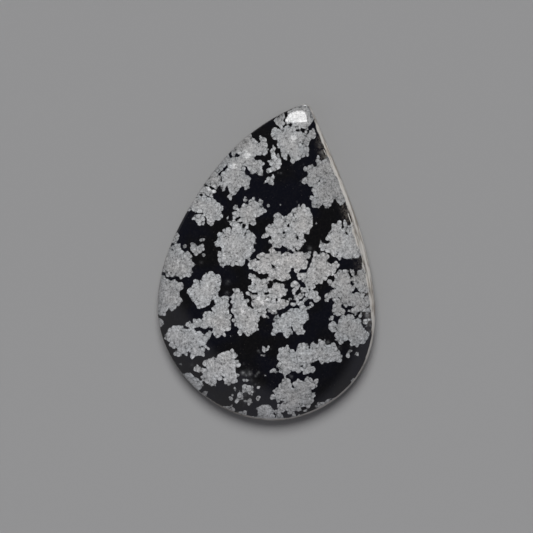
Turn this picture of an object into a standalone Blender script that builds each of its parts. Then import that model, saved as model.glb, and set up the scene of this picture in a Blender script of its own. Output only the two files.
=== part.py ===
"""A polished pear-shaped cabochon of snowflake obsidian, as one closed solid.

The stone lies on its flat back with the dome upwards. +Y runs towards the pointed end, +Z out of the
dome, and the origin is on the back, in the middle of the outline's box. All lengths are in metres.
"""

import math

import bmesh
import bpy
from mathutils import Vector

MM = 0.001

# Control points of the outline's spline, walked clockwise from the tip as seen from above. The stone is
# cut freehand: its left flank bulges, its right flank is nearly straight, and the tip leans to the right.
OUTLINE_MM = (
    (5.5, 22.7), (6.1, 22.4), (6.4, 21.9), (6.9, 20.8), (7.9, 18.5), (10.9, 11.5), (13.9, 3.6), (15.6, -4.8),
    (15.6, -11.2), (13.1, -17.3), (7.2, -21.7), (0.6, -23.2), (-6.3, -21.3), (-11.6, -17.2), (-15.2, -11.2),
    (-15.9, -5.7), (-14.6, 1.3), (-10.5, 9.2), (-5.4, 16.1), (-0.3, 20.0), (3.1, 21.8), (4.8, 22.5),
)
STEPS_PER_SPAN = 5

THICKNESS = 6.0 * MM
GIRDLE_TOP = 2.0 * MM
BACK_BEVEL = 0.35 * MM
CROWN_CENTRE = Vector((0.3 * MM, -3.6 * MM))
DOME_FLATNESS = 4.0
DOME_RINGS = 15

GLASS_COLOUR = (0.004, 0.004, 0.005, 1.0)
GLASS_ROUGHNESS = 0.05


def clear_scene():
    for old in list(bpy.data.objects):
        bpy.data.objects.remove(old, do_unlink=True)


def polished_glass():
    material = bpy.data.materials.new("black_volcanic_glass")
    material.use_nodes = True
    shader = material.node_tree.nodes["Principled BSDF"]
    shader.inputs["Base Color"].default_value = GLASS_COLOUR
    shader.inputs["Roughness"].default_value = GLASS_ROUGHNESS
    shader.inputs["Metallic"].default_value = 0.0
    return material


def outline_points():
    """The girdle's outline: a cubic spline drawn in by its control points, centred on the origin."""
    curve = bpy.data.curves.new("outline", "CURVE")
    curve.dimensions = "2D"
    curve.fill_mode = "NONE"
    curve.resolution_u = STEPS_PER_SPAN
    spline = curve.splines.new("NURBS")
    spline.points.add(len(OUTLINE_MM) - 1)
    for control, (x, y) in zip(spline.points, OUTLINE_MM):
        control.co = (x * MM, y * MM, 0.0, 1.0)
    spline.order_u = 4
    spline.use_cyclic_u = True
    guide = bpy.data.objects.new("outline", curve)
    bpy.context.scene.collection.objects.link(guide)
    bpy.context.view_layer.update()
    mesh = bpy.data.meshes.new_from_object(guide)
    points = [vertex.co.xy for vertex in mesh.vertices]
    bpy.data.objects.remove(guide, do_unlink=True)
    bpy.data.meshes.remove(mesh)
    lowest = Vector((min(p.x for p in points), min(p.y for p in points)))
    highest = Vector((max(p.x for p in points), max(p.y for p in points)))
    middle = (lowest + highest) / 2
    return [p - middle for p in points]


def stone_profile():
    """(share of the outline's size, height) of each ring, from the rim of the back up over the dome."""
    half_width = (max(x for x, _ in OUTLINE_MM) - min(x for x, _ in OUTLINE_MM)) * MM / 2
    rings = [
        (1.0 - BACK_BEVEL / half_width, 0.0),
        (1.0, BACK_BEVEL),
        (1.0, GIRDLE_TOP),
    ]
    rise = THICKNESS - GIRDLE_TOP
    for ring in range(1, DOME_RINGS):
        share = math.cos(math.pi / 2 * ring / DOME_RINGS)
        rings.append((share, THICKNESS - rise * share**DOME_FLATNESS))
    return rings


def ring_of(shape, outline, share, height):
    """A loop of vertices: the outline drawn in towards the crown's centre, at one height."""
    loop = []
    for point in outline:
        x, y = CROWN_CENTRE + (point - CROWN_CENTRE) * share
        loop.append(shape.verts.new((x, y, height)))
    return loop


def join_rings(shape, lower, upper):
    count = len(lower)
    for i in range(count):
        j = (i + 1) % count
        shape.faces.new((lower[i], lower[j], upper[j], upper[i]))


def make_cabochon():
    """The whole stone: flat back, bevelled rim, upright girdle and a low dome closed at its crown."""
    outline = outline_points()
    shape = bmesh.new()
    rings = [ring_of(shape, outline, share, height) for share, height in stone_profile()]
    for lower, upper in zip(rings, rings[1:]):
        join_rings(shape, lower, upper)
    shape.faces.new(rings[0])
    crown = shape.verts.new((CROWN_CENTRE.x, CROWN_CENTRE.y, THICKNESS))
    last = rings[-1]
    for i, vertex in enumerate(last):
        shape.faces.new((vertex, last[(i + 1) % len(last)], crown))
    bmesh.ops.recalc_face_normals(shape, faces=shape.faces)
    mesh = bpy.data.meshes.new("cabochon")
    shape.to_mesh(mesh)
    shape.free()
    mesh.shade_smooth()
    mesh.set_sharp_from_angle(angle=math.radians(35.0))
    mesh.materials.append(polished_glass())
    cabochon = bpy.data.objects.new("cabochon", mesh)
    bpy.context.scene.collection.objects.link(cabochon)
    return cabochon


clear_scene()
make_cabochon()
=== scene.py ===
"""The looks of a pear-shaped cabochon of snowflake obsidian, lying on a pale floor.

The stone is one piece of black volcanic glass with pale crystal flakes grown inside it. The polish cuts
through the flakes, so they are flat marks in the surface, with round lobes along their edges. The outline
and the dome repeat the solid's own sizes. The front's flakes are drawn from outlines read off the photo,
in its pixels, and turned into millimetres; the back's flakes are a guess of the same scale.
"""

import logging
import math
from dataclasses import asdict, dataclass, field
from enum import Enum
from functools import reduce
from typing import Union

import bmesh
import bpy
import numpy as np
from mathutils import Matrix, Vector


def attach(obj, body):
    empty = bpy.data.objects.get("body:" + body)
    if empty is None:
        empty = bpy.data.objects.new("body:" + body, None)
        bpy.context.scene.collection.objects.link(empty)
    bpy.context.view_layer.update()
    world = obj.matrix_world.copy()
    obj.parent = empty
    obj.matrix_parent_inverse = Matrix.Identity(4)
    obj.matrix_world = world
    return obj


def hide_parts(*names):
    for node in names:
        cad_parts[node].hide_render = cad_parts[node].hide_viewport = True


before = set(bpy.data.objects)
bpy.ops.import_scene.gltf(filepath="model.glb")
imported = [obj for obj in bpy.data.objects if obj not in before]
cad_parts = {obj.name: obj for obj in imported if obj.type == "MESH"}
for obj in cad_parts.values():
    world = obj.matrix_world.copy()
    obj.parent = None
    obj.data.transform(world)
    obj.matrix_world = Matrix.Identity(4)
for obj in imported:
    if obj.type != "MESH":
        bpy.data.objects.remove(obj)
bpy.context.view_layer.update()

log = logging.getLogger("cabochon")

MM = 0.001
STONE_NODE = "cabochon"

# The outline's control points, clockwise from the tip as seen from above, as in the solid.
OUTLINE_MM = (
    (5.5, 22.7), (6.1, 22.4), (6.4, 21.9), (6.9, 20.8), (7.9, 18.5), (10.9, 11.5), (13.9, 3.6), (15.6, -4.8),
    (15.6, -11.2), (13.1, -17.3), (7.2, -21.7), (0.6, -23.2), (-6.3, -21.3), (-11.6, -17.2), (-15.2, -11.2),
    (-15.9, -5.7), (-14.6, 1.3), (-10.5, 9.2), (-5.4, 16.1), (-0.3, 20.0), (3.1, 21.8), (4.8, 22.5),
)
CROWN_CENTRE_MM = (0.3, -3.6)

# Where the photo shows the stone: its scale, the middle of the stone and the middle of the picture.
PIXELS_PER_MM = 7.0
STONE_MIDDLE_PX = (266.45, 262.25)
PICTURE_MIDDLE_PX = (266.5, 266.5)
PICTURE_WIDTH_PX = 533

# Every fourth point of the outline is close enough to measure the rim's depth from.
OUTLINE_STEP = 4
# Taken in place of a zero length that something would be divided by.
TINY = 1e-12

Socket = bpy.types.NodeSocket
Feed = Union[Socket, float, int, tuple]
Name = Union[str, int]
Colour = tuple[float, float, float, float]
Points = tuple[tuple[float, float], ...]
Reached = tuple[np.ndarray, np.ndarray]


@dataclass(frozen=True)
class Flake:
    """A crystal flake with a crisp edge.

    Args:
        name: where it is on the stone.
        outline_px: its edge, in the photo's pixels.
        tone: its brightness beside a common flake.
        cool: its hue, from -1 for beige to 1 for bluish.
    """

    name: str
    outline_px: Points
    tone: float = 1.0
    cool: float = 0.0


@dataclass(frozen=True)
class Gap:
    """A patch of black glass inside a flake, given by its edge in the photo's pixels."""

    outline_px: Points


@dataclass(frozen=True)
class Slit:
    """A thin black crack in a flake: its route in the photo's pixels and its width in pixels."""

    route_px: Points
    width_px: float


@dataclass(frozen=True)
class Dot:
    """A round speck: its middle, radius and brightness, in the photo's pixels."""

    x: float
    y: float
    radius: float
    tone: float = 1.0


# The flakes. Where two overlap, a point takes the looks of the one that it lies deepest inside.
FLAKES = (
    Flake("tip", (
        (288, 112), (292, 108), (299, 104), (305, 102), (310, 105), (312, 111), (314, 118), (313, 122),
        (309, 126), (308, 129), (306, 131), (304, 130), (303, 128), (300, 128.5), (296, 129), (293, 127),
        (291, 124.5), (287, 123.5), (285, 121), (285.5, 118), (287, 116),
    ), tone=0.94),
    Flake("tip_left", (
        (275, 117), (277, 115), (280, 112), (283, 111), (285, 113), (284.5, 116), (284, 119), (284, 122),
        (285, 124), (283, 127), (280, 128), (277, 125.5), (275, 122), (274.5, 119),
    ), tone=0.86),
    Flake("below_tip", (
        (270.5, 131), (272, 129), (275, 128), (278, 128.5), (280, 130), (283, 128.5), (285, 126),
        (288, 125.5), (291, 126), (295, 128), (297, 131.5), (300, 131), (302, 131.5), (303, 133),
        (306, 134.5), (309, 132.5), (311, 130.5), (313, 129), (316, 130.5), (317, 133), (316, 136.5),
        (313, 139), (311, 140.5), (309.5, 143), (308.5, 146), (309, 150), (309, 155), (307.5, 157),
        (306, 155), (304, 157), (301, 159.5), (298, 160.5), (296, 161.5), (294, 164), (292, 164), (290, 162),
        (290, 159.5), (289.5, 156), (288.5, 155), (287.5, 158), (286, 160.5), (284.5, 159), (283, 158),
        (281, 156.5), (280, 153), (280, 149), (278.5, 147.5), (277, 144), (277, 141), (276, 139.5),
        (273, 139.5), (271.5, 137.5), (271, 134.5),
    ), tone=0.87, cool=0.2),
    Flake("tip_neck", ((291, 122), (297, 122), (297, 131), (291, 130))),
    Flake("upper_column", (
        (271.5, 148), (273, 145.5), (275, 148), (275, 155), (277, 158), (279, 157), (281, 160), (281, 164),
        (280, 168), (278, 170), (276, 171.5), (273, 172.5), (271, 173), (269, 174.5), (267, 173),
        (265, 170.5), (266, 168.5), (268, 168), (270, 168.5), (270.5, 166), (268.5, 163), (268, 161),
        (270, 161), (270, 158), (270.5, 154), (271, 151),
    )),
    Flake("upper_column_shade", (
        (277.3, 152.5), (279.5, 155.5), (281, 160), (280.5, 165), (278.5, 167), (277.8, 161),
    ), tone=0.5),
    Flake("upper_claw", (
        (268, 177.2), (270, 176.5), (273, 177), (274.4, 178.8), (273, 180.6), (272, 182), (273.8, 185),
        (273, 187.2), (271.3, 186.3), (268.8, 184.4), (267, 183), (264.4, 183.8), (264, 182.5), (266.3, 181),
        (267, 179),
    ), tone=0.8),
    Flake("upper_right", (
        (303, 170), (303.8, 167.8), (305.3, 166.6), (307.2, 167.2), (308.8, 165.5), (312, 165.3),
        (314.4, 166.6), (316, 165), (316.6, 162.5), (315.6, 159.4), (316.6, 157), (318, 155.5), (319.4, 157),
        (320, 159.4), (322, 160.4), (324.4, 159.8), (325.6, 158), (327, 155.8), (329, 154), (337, 160),
        (346, 180), (351, 195), (345, 202), (341.6, 204.4), (340, 205.4), (338, 203), (336.2, 201),
        (334.4, 199.6), (332.8, 200.6), (332.2, 203), (330, 205.6), (328, 208.4), (326, 208.4),
        (324.4, 206.2), (322.5, 205.5), (321, 207), (318.8, 207.8), (310.2, 207), (310.6, 203.8),
        (310.6, 200), (310, 197), (312, 196), (315, 196), (312, 192.6), (310, 190), (312.5, 188.7),
        (314, 186.6), (311.5, 187.8), (309.3, 187.9), (307.2, 186.3), (306.6, 184.4), (304.4, 184.7),
        (302.5, 183), (300.2, 181.6), (301, 180.5), (303, 178.8), (305.6, 176.3), (308.2, 174.7),
        (307.5, 173), (305, 172.6), (303.4, 171.6),
    ), tone=0.82),
    Flake("shoulder_core", (
        (259.5, 138), (260.5, 136), (263, 137), (266, 139), (267, 143), (267.5, 147), (269, 149), (267, 152),
        (266, 155), (264, 157), (262, 155.5), (259, 155.5), (256, 156.5), (254.5, 158.5), (256, 160),
        (258, 160), (260, 160.5), (262, 162), (264.5, 164), (264, 166), (262.5, 168), (262.5, 171),
        (263.5, 176.5), (260, 176), (257, 174), (255, 173), (254, 174), (252, 175.5), (250.5, 174.5),
        (249, 171.5), (247.5, 168), (246, 166), (244, 166), (241, 168), (238, 164), (236, 160), (234, 156),
        (233, 151), (230, 145), (236, 140), (241, 136), (246, 132.5), (250, 130.5), (252, 135), (255, 140),
        (258, 141.5), (259.5, 142), (259, 140),
    ), tone=0.84),
    Flake("shoulder_lower", (
        (233, 147), (236, 152), (240, 156), (243, 161), (245, 166), (245, 170), (246, 173), (246, 175.5),
        (249, 176.5), (252, 177), (253, 179), (251, 181), (250, 184), (249, 188), (247, 190), (244.5, 189),
        (243, 187), (240, 188.5), (238, 192), (235, 194.5), (233, 197), (231, 200), (229.5, 199.5),
        (228, 197), (229, 194), (229, 190), (228, 187), (227.5, 186), (226.5, 188), (226, 190.5), (224, 191),
        (221.5, 190), (220, 188.5), (220.5, 185), (221.5, 182), (221, 178), (217, 174), (210, 170),
        (216, 160), (224, 151),
    ), tone=0.84, cool=0.3),
    Flake("shoulder_edge", (
        (206, 176), (212, 168), (220, 172), (222, 179), (220.5, 183), (219, 187), (217, 189.5), (215, 189),
        (213, 187), (210, 186), (206, 185), (201, 183.5),
    ), tone=0.86),
    Flake("shoulder_strip", (
        (197, 187), (203, 184.5), (208, 187.5), (213, 189.5), (216.5, 192), (214, 194), (212, 197),
        (208, 197), (206, 194.5), (203, 194), (192, 194),
    ), tone=0.9),
    Flake("left_upper", (
        (193, 195), (203, 196), (206, 195), (209, 197.5), (212, 198), (215, 199), (217, 201.5), (220, 203),
        (223, 207), (222.5, 210), (221.5, 213), (223, 217), (221.5, 219.5), (218, 220), (216, 221.5),
        (215, 224.5), (212, 225.5), (209.5, 225), (207.5, 222.5), (206.5, 219), (204.5, 215), (202, 212.5),
        (199, 213), (195, 213), (193.5, 211), (184, 209), (188, 201),
    ), tone=0.96, cool=0.3),
    Flake("left_small", (
        (193, 217), (195, 214.5), (198, 214.5), (202, 214), (204, 216.5), (205.5, 219), (205.5, 222.5),
        (203, 225), (200, 225.5), (197, 223.5), (194, 220.5), (192.5, 219),
    ), tone=0.92, cool=0.4),
    Flake("upper_star", (
        (233, 208), (234.4, 206), (236.3, 205.6), (237.7, 207.5), (238.5, 209.3), (240, 208.4),
        (240.6, 206.3), (243, 204.7), (248, 204.2), (248.4, 202), (250.6, 200.3), (254.4, 197.6),
        (255.3, 199.7), (256.5, 202), (258.2, 201.5), (260, 199.6), (262, 200), (263.8, 202), (262.8, 204),
        (260.6, 206), (261, 207.7), (264.4, 208), (266.3, 209.7), (266, 212.2), (263, 214), (260.5, 215.7),
        (258, 217.5), (254, 219), (255.8, 220.7), (256.8, 222.8), (256, 225), (254, 226.3), (251.5, 225.3),
        (249.5, 224.6), (247.5, 225.6), (245.5, 225), (243.3, 223), (241.5, 221.3), (238, 222.5),
        (235, 222.5), (237.5, 220), (240.3, 217.8), (239.5, 217.3), (236, 219), (233.7, 218.4), (232, 216.3),
        (231.6, 213), (233, 210.6),
    ), tone=0.93),
    Flake("upper_star_spur", (
        (228, 221.5), (232, 220.5), (237, 220.5), (241, 219.5), (240, 221.5), (236, 224), (233, 224),
        (230, 223),
    ), tone=0.9),
    Flake("upper_star_bead", (
        (243.5, 200.5), (244.5, 198.5), (246.5, 197), (248, 199), (247.5, 201.5), (246, 202.7), (244.3, 202),
    ), tone=0.85),
    Flake("middle_left", (
        (217, 238.5), (217, 234.5), (219, 232.5), (222.5, 232.2), (223, 230), (225.3, 228.4), (229, 227),
        (230.6, 228), (232.3, 230.5), (231.5, 227), (230.6, 224.5), (233.5, 223), (236.5, 223.8),
        (240, 223.8), (242, 225), (243.5, 228), (245.5, 227), (248, 227), (249.3, 229.5), (253.4, 232.5),
        (254, 235), (255.8, 237), (255.6, 241), (257, 243), (255.5, 244.5), (253.2, 244.8), (253.2, 247.5),
        (254.7, 250.5), (253.8, 253), (251.3, 255.6), (250.5, 258.5), (248.5, 259.8), (246.2, 259.4),
        (245.2, 261.5), (244.7, 264.4), (242.5, 266.3), (238.8, 266.6), (236, 264.2), (232.8, 267),
        (230.6, 265.6), (226, 264.8), (223.8, 267.2), (221.3, 267), (219.5, 264), (218.7, 260), (217.8, 255),
        (219, 252), (221, 251), (220.3, 247.5), (217, 247.5), (215, 245.5), (215, 243), (217, 241),
    ), cool=0.35),
    Flake("middle_right", (
        (278, 211), (275, 212.8), (273.2, 216.3), (273.5, 219.5), (274.5, 222.5), (272.5, 224.7),
        (268, 225.6), (266.3, 227), (265.3, 232), (262.5, 235), (262.2, 237.5), (264.4, 238.4), (268, 237.5),
        (270, 236.6), (271.7, 237.5), (271.5, 239.5), (268.5, 240.8), (269.5, 243), (272, 245.3), (274, 247),
        (276, 248.5), (279, 248.4), (280.8, 247.3), (281.5, 244.8), (283, 245.2), (285, 247.5), (289.4, 249),
        (290.6, 250.6), (292.5, 251.5), (294.5, 249.5), (298, 249.3), (300.5, 248.8), (302, 246.5),
        (302.7, 243.7), (305, 242), (305.6, 240.5), (304, 237.5), (303.4, 235.5), (304, 233.8),
        (306.7, 234.4), (309.4, 232.8), (310.4, 230.6), (311.3, 228.4), (313.2, 226.3), (312, 223.8),
        (311, 222.2), (312.5, 221.2), (313.8, 218), (313.4, 215.6), (311.6, 213.4), (310.6, 212.3),
        (310.6, 209.7), (308, 208.4), (305.3, 207), (304.7, 204.4), (302.8, 203.2), (301, 205),
        (300.3, 206.3), (298.8, 204.7), (295.5, 207.3), (292, 210.3), (287.5, 214.4), (284.4, 216.3),
        (283.8, 218.2), (282.5, 217), (280.6, 213.2),
    )),
    Flake("right_upper", (
        (337.5, 220.3), (340, 220.5), (341, 222.5), (341.7, 226), (342, 230.3), (343.2, 229.5), (343, 225),
        (343.4, 221.3), (345, 220.3), (346.3, 222), (347.5, 224.4), (349.7, 225.8), (351, 225), (351.6, 222),
        (353, 216), (362, 218), (368, 236), (372, 250), (363.5, 256), (358.8, 257.2), (355, 258.2),
        (352, 259.4), (347.5, 259.4), (345, 258.4), (341.3, 258.4), (340, 259.7), (338, 259.4), (335.6, 258),
        (332.5, 257), (330, 254.8), (328.8, 253), (325, 251.7), (321.3, 251), (320, 249.5), (320, 248),
        (319, 243.8), (319.4, 241.3), (322, 241.6), (325, 243.9), (327.5, 244.3), (328.8, 242.5),
        (328.5, 240.8), (326.5, 240.2), (325, 238.8), (326, 236.2), (328, 232.5), (330, 230), (331, 227.5),
        (331, 224.7), (332.5, 223.4), (335, 224), (336.3, 221.6),
    )),
    Flake("centre_upper", (
        (257, 255.5), (258.8, 253.2), (262, 252.8), (265, 253.4), (268.8, 253), (270, 252), (269.4, 249.4),
        (270.6, 247.4), (272.8, 248), (274.4, 250.3), (278.8, 251.3), (281.3, 253), (282.8, 254.2),
        (284.4, 252.2), (288.8, 252), (292.5, 253.4), (294, 252.5), (297, 251.3), (300.6, 251.6),
        (303.4, 253), (305, 252.5), (306.3, 251.6), (308.8, 250.8), (310.7, 252.5), (311, 255.6),
        (309.4, 258), (306.3, 259.4), (306.8, 262), (308, 264), (306.6, 267.5), (303.8, 269.3), (300, 270.3),
        (298.5, 272.7), (296.3, 273.2), (294.7, 272), (294, 269.3), (292.5, 268.5), (291, 271), (288, 272.3),
        (290, 274.4), (289.7, 277.5), (288.2, 280.6), (286.3, 281.6), (283, 281), (279.4, 280), (273, 280.3),
        (270, 280), (267.5, 278.8), (266.6, 277), (268.8, 275), (272, 273.8), (272, 273.2), (267.5, 273.5),
        (263.8, 273.5), (260, 273), (255.7, 271.4), (253.8, 269.3), (250.6, 268.8), (248.8, 267),
        (248, 264.4), (249.7, 261.2), (252, 259.4), (255, 259.4), (256.5, 260.7), (259.5, 260.6),
        (258.2, 258.8), (256.8, 257),
    ), tone=1.06, cool=-0.5),
    Flake("centre_right", (
        (312.8, 253), (313.8, 250.8), (315.2, 250), (316.6, 251.3), (317.5, 253.8), (318.5, 255), (320, 253),
        (325.6, 253), (328.4, 254.4), (329, 257), (327.5, 259.4), (328.2, 261.3), (330, 263.7),
        (331.3, 263.4), (333.8, 262), (336.3, 261.6), (338.4, 263.8), (339, 266.3), (337.8, 268.8),
        (335.6, 270.6), (334.4, 273), (332.5, 275.7), (331, 276.7), (329.5, 275.5), (328.4, 276),
        (327.5, 278), (326.5, 280), (325.5, 281.3), (324, 281), (322.5, 281.8), (321.5, 284), (319, 283.7),
        (316.5, 284), (315, 285.3), (314.2, 287.5), (312.5, 289.3), (309, 289.3), (306, 288), (305, 286),
        (305, 284.4), (302.8, 281.3), (300.6, 280), (298.8, 279.4), (297.4, 277), (297.5, 273.8),
        (300, 272.6), (305, 272), (306, 270.3), (308.6, 267), (310.8, 264), (311.6, 260), (312.5, 256.3),
    ), tone=1.02, cool=-0.4),
    Flake("centre_left", (
        (249, 274), (251.3, 272.8), (254, 274.5), (257, 276), (259.4, 277.5), (260.6, 279), (262.5, 278),
        (265.6, 277.8), (267.5, 280), (268.4, 282.5), (267.5, 285), (268.5, 288.5), (268, 291.8), (265, 292),
        (264, 294), (260, 294.5), (257, 293.2), (252.5, 291.8), (249.4, 290), (247.8, 287.8), (248.2, 285.6),
        (250.5, 285), (252.5, 283.8), (252.2, 280.8), (250.6, 279.4), (248.8, 277.5),
    ), cool=-0.2),
    Flake("centre", (
        (273, 282.7), (275.6, 281.6), (278, 282.5), (281.3, 283.2), (284, 284.2), (284, 287.5), (286.3, 289),
        (288, 290.3), (287.5, 292), (286, 293.3), (284.4, 295.6), (281, 297.8), (281.5, 299.5), (270, 299),
        (268.5, 295), (269, 290), (270.5, 287.5), (272.3, 285.2),
    ), cool=-0.4),
    Flake("centre_lower", (
        (246.3, 292), (248.2, 290.8), (250.5, 292.8), (254, 294.5), (258, 294), (263, 294.5), (269, 294.5),
        (270, 299), (276, 300.5), (280, 299.3), (285, 299), (287.5, 300.6), (288, 302.8), (287, 305.6),
        (285, 307.5), (282, 308), (279.4, 309.4), (276, 310.3), (273.8, 312.5), (271.8, 313.5),
        (269.4, 312.5), (267.5, 310), (266.3, 308.6), (265.6, 310.6), (266, 313.8), (266.3, 316.3),
        (264.4, 317.8), (262.3, 317.2), (260.5, 315), (258, 312), (254, 309), (252, 305.5), (251, 302),
        (250.5, 298), (248.5, 295.7), (246.5, 294),
    ), cool=-0.3),
    Flake("centre_wedge", (
        (290.3, 283), (291.3, 281.5), (293.8, 280.6), (297, 281.6), (299.5, 283), (299.7, 285.6),
        (298, 288.2), (296.3, 290.6), (294.3, 293.3), (293, 294), (291.5, 292.4), (290.2, 290.2),
        (292, 288.5), (294, 287), (292, 287), (290.6, 285.4),
    )),
    Flake("centre_knot", (
        (293.4, 296.4), (295.6, 295), (298.2, 293), (300, 290.6), (300.6, 288.2), (303, 287.3), (306, 288),
        (306.5, 291), (304.5, 292), (304, 295.5), (302, 298), (298.8, 299.5), (295.6, 300.2), (293.8, 299.4),
    )),
    Flake("centre_knot_right", (
        (306.3, 288), (309, 289), (313, 290), (316, 289.8), (317.6, 291.3), (318, 293), (316.4, 294.4),
        (318.6, 295.4), (320.6, 296.8), (321, 299.2), (319, 301), (316.5, 301.8), (313.8, 301.3),
        (312.2, 300), (311, 299), (308.5, 299), (306.8, 300.2), (305.5, 299), (305.7, 296.5), (305.2, 293.5),
        (304.8, 291), (305, 289),
    )),
    Flake("centre_knot_lower", (
        (292.5, 304), (295, 302), (298.8, 301), (302, 300), (305, 298.2), (306.5, 298.5), (306, 300.5),
        (304, 303.5), (306, 305.5), (309.5, 306.3), (308, 309), (304, 311), (300.5, 309), (298.5, 306),
        (296.3, 305.5), (293.8, 307), (292.3, 306.2),
    ), cool=0.2),
    Flake("lower_middle", (
        (273, 317.5), (274.4, 316), (277.5, 314.7), (279.4, 316), (281.3, 314.8), (284.4, 312),
        (287.5, 309.9), (291.3, 308.7), (295, 307.6), (297.5, 307), (299.5, 309.4), (305.6, 310.5),
        (307.5, 313), (308, 316.3), (309.7, 318), (308, 320), (305, 322.5), (302.5, 325.3), (302, 327.6),
        (304, 329.4), (304.3, 332), (302, 333.8), (298.8, 334), (295.6, 332.6), (293, 329), (291.2, 326),
        (292.5, 330), (294, 333.5), (292, 335), (289.4, 335.6), (287.5, 337.2), (285, 337), (282.5, 334.4),
        (281.8, 332), (280, 331), (278, 332), (277, 334.4), (275.3, 335.6), (272.5, 334.4), (270.3, 332),
        (271.3, 329.4), (272.5, 327.5), (272, 324.4), (273.8, 323), (274.6, 321), (273.4, 319.4),
    ), cool=0.6),
    Flake("right_cluster", (
        (327.4, 279), (329, 279.5), (331, 279.8), (332.5, 281.5), (333.8, 281.5), (333.8, 280.3),
        (334, 277.5), (335, 275), (336.3, 272.5), (338, 270.6), (342.5, 270.2), (346.3, 269.4), (348, 270.3),
        (349, 273), (349.7, 275.6), (351.3, 277.2), (353.8, 277), (355.6, 275), (356.3, 272.5),
        (356.8, 271.2), (358, 270), (360, 269.6), (361.8, 268.2), (363, 266.3), (366, 263), (376, 266),
        (381, 285), (381, 304), (373, 304.5), (370.5, 305), (367.8, 306.3), (366.2, 308.8), (365.6, 311.3),
        (363.2, 312), (361.8, 315), (360.5, 318), (356, 319), (351, 317), (348.5, 314), (346.5, 315),
        (344.5, 315.5), (342, 315.5), (338.8, 315.2), (337, 315.8), (333.8, 314.8), (332, 313.5), (331, 312),
        (331.4, 310), (333, 308.3), (332.5, 306.3), (332.8, 304.4), (334, 302.5), (335.6, 300.3),
        (333.8, 301.2), (332.2, 301.3), (331.2, 300), (330.8, 298.2), (329.3, 299), (328, 300.8),
        (326.3, 301), (324.5, 300.2), (324, 298), (324.7, 295.6), (326.3, 293), (328, 291.3), (330, 290),
        (331.6, 288.8), (330, 286.5), (327.8, 284.5), (326.6, 282),
    ), tone=0.86, cool=-0.1),
    Flake("right_cluster_ringed_bead", (
        (349.6, 270.5), (351.5, 269.8), (353.5, 270.6), (354.8, 272.4), (354.4, 274.4), (352.6, 275.8),
        (350.6, 275), (349.4, 273),
    ), tone=0.88),
    Flake("right_cluster_small_lobe", (
        (331, 315), (332.8, 316), (332.5, 318.5), (331.3, 320.5), (329.3, 320.8), (328.5, 319),
        (329.5, 316.5),
    )),
    Flake("right_rim_sliver", (
        (370.5, 306), (371.5, 308), (370.5, 311), (368, 313), (366.5, 314.3), (365.3, 313), (366, 310),
        (367.5, 307.5),
    ), tone=1.06),
    Flake("right_rim_patch", (
        (362.2, 320), (364, 319), (366.5, 319), (369, 318.8), (369.3, 320.5), (367.5, 322.5), (365, 323.8),
        (362.8, 324), (361.8, 322),
    ), tone=1.03),
    Flake("right_rim_shade", (
        (365.5, 308), (371, 309), (372.3, 318), (372, 328), (370.5, 334.5), (367.5, 332), (369, 328),
        (369.5, 322), (370, 316), (366.8, 312.5),
    ), tone=0.66),
    Flake("right_lower", (
        (341, 315.5), (345, 314.5), (348.5, 314), (351, 317), (356, 318.8), (360.3, 318.5), (361.5, 320.5),
        (362, 323.5), (363.5, 325.5), (365.5, 325.2), (368, 324.2), (368.5, 325.5), (367, 327.3), (365, 329),
        (366.5, 330.8), (368.8, 332.6), (369.6, 335), (369, 338), (367.5, 340), (365, 342.2), (362.5, 343.8),
        (360, 344.2), (358, 345.5), (356.6, 347), (355, 346), (353.6, 345.2), (351.5, 345.8), (350.2, 344.5),
        (350.5, 342), (349.5, 340.5), (348, 339.8), (346.5, 340.5), (344.5, 341.2), (342.8, 343),
        (340.6, 344), (338, 342.6), (336.6, 341), (335.3, 339), (336, 337.4), (334.6, 337), (333.8, 335.5),
        (334.8, 333.7), (335, 332), (333.8, 331.2), (331.8, 331.3), (329.7, 330), (328, 328), (327.8, 326.4),
        (328.4, 323.8), (330, 322), (332, 320.7), (334, 320.7), (335.6, 322), (336.6, 322.6), (337.8, 321.3),
        (339, 318.5),
    ), tone=0.88, cool=0.4),
    Flake("lower_right_pair", (
        (350, 348.8), (351.6, 349.4), (352.2, 351.3), (351.3, 352.8), (350, 353.8), (350, 355.6),
        (349, 357.2), (347.8, 357.8), (346.3, 356.6), (345.6, 354.4), (346, 352.5), (347.5, 351.3),
        (348.4, 349.7),
    ), tone=0.9),
    Flake("lower_right_bead", (
        (355.8, 350.8), (357, 352.3), (358.4, 353), (358, 354.8), (356, 355.3), (354.3, 354.8),
        (353.8, 353.3), (355, 352.5),
    ), tone=0.9),
    Flake("lower_long", (
        (278.4, 348), (282, 347.5), (284.4, 346.6), (285.6, 345.3), (287.5, 345), (289, 346), (289.7, 347.8),
        (290.6, 348.8), (292.5, 348.4), (294, 349.4), (294.7, 350.3), (296, 349.7), (295.3, 347.8),
        (296.6, 345.6), (298.8, 343.8), (301.3, 342.8), (304.4, 342.5), (307, 343.4), (308.4, 345.3),
        (308.6, 347), (309.8, 347.4), (310.3, 346), (310, 344.4), (310.6, 342.2), (312.5, 341.3),
        (314.7, 342.2), (316.3, 344), (317.5, 343.8), (317.5, 342), (318, 339.7), (320.3, 339),
        (322.5, 339.7), (324.4, 339), (325.3, 340.3), (325.6, 342.2), (326.6, 343.6), (328.6, 344.2),
        (329.7, 342.8), (331.3, 341.6), (333.8, 342.8), (335, 344.4), (337, 346), (337.2, 347.5),
        (338, 348.8), (339.4, 350), (339.7, 352.5), (341, 354.4), (342.2, 356.6), (342.2, 359),
        (340.6, 361.3), (338, 362.2), (335, 362), (331.3, 362.2), (328.8, 362), (325.6, 362), (323.4, 362.5),
        (322.2, 363.8), (320.6, 364), (319, 363), (318.8, 361.6), (319.4, 360), (318, 359.4), (315, 360.3),
        (314.4, 362), (312.8, 363), (311, 364), (310.6, 365), (311.3, 366.3), (313.8, 366), (315, 367.5),
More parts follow.
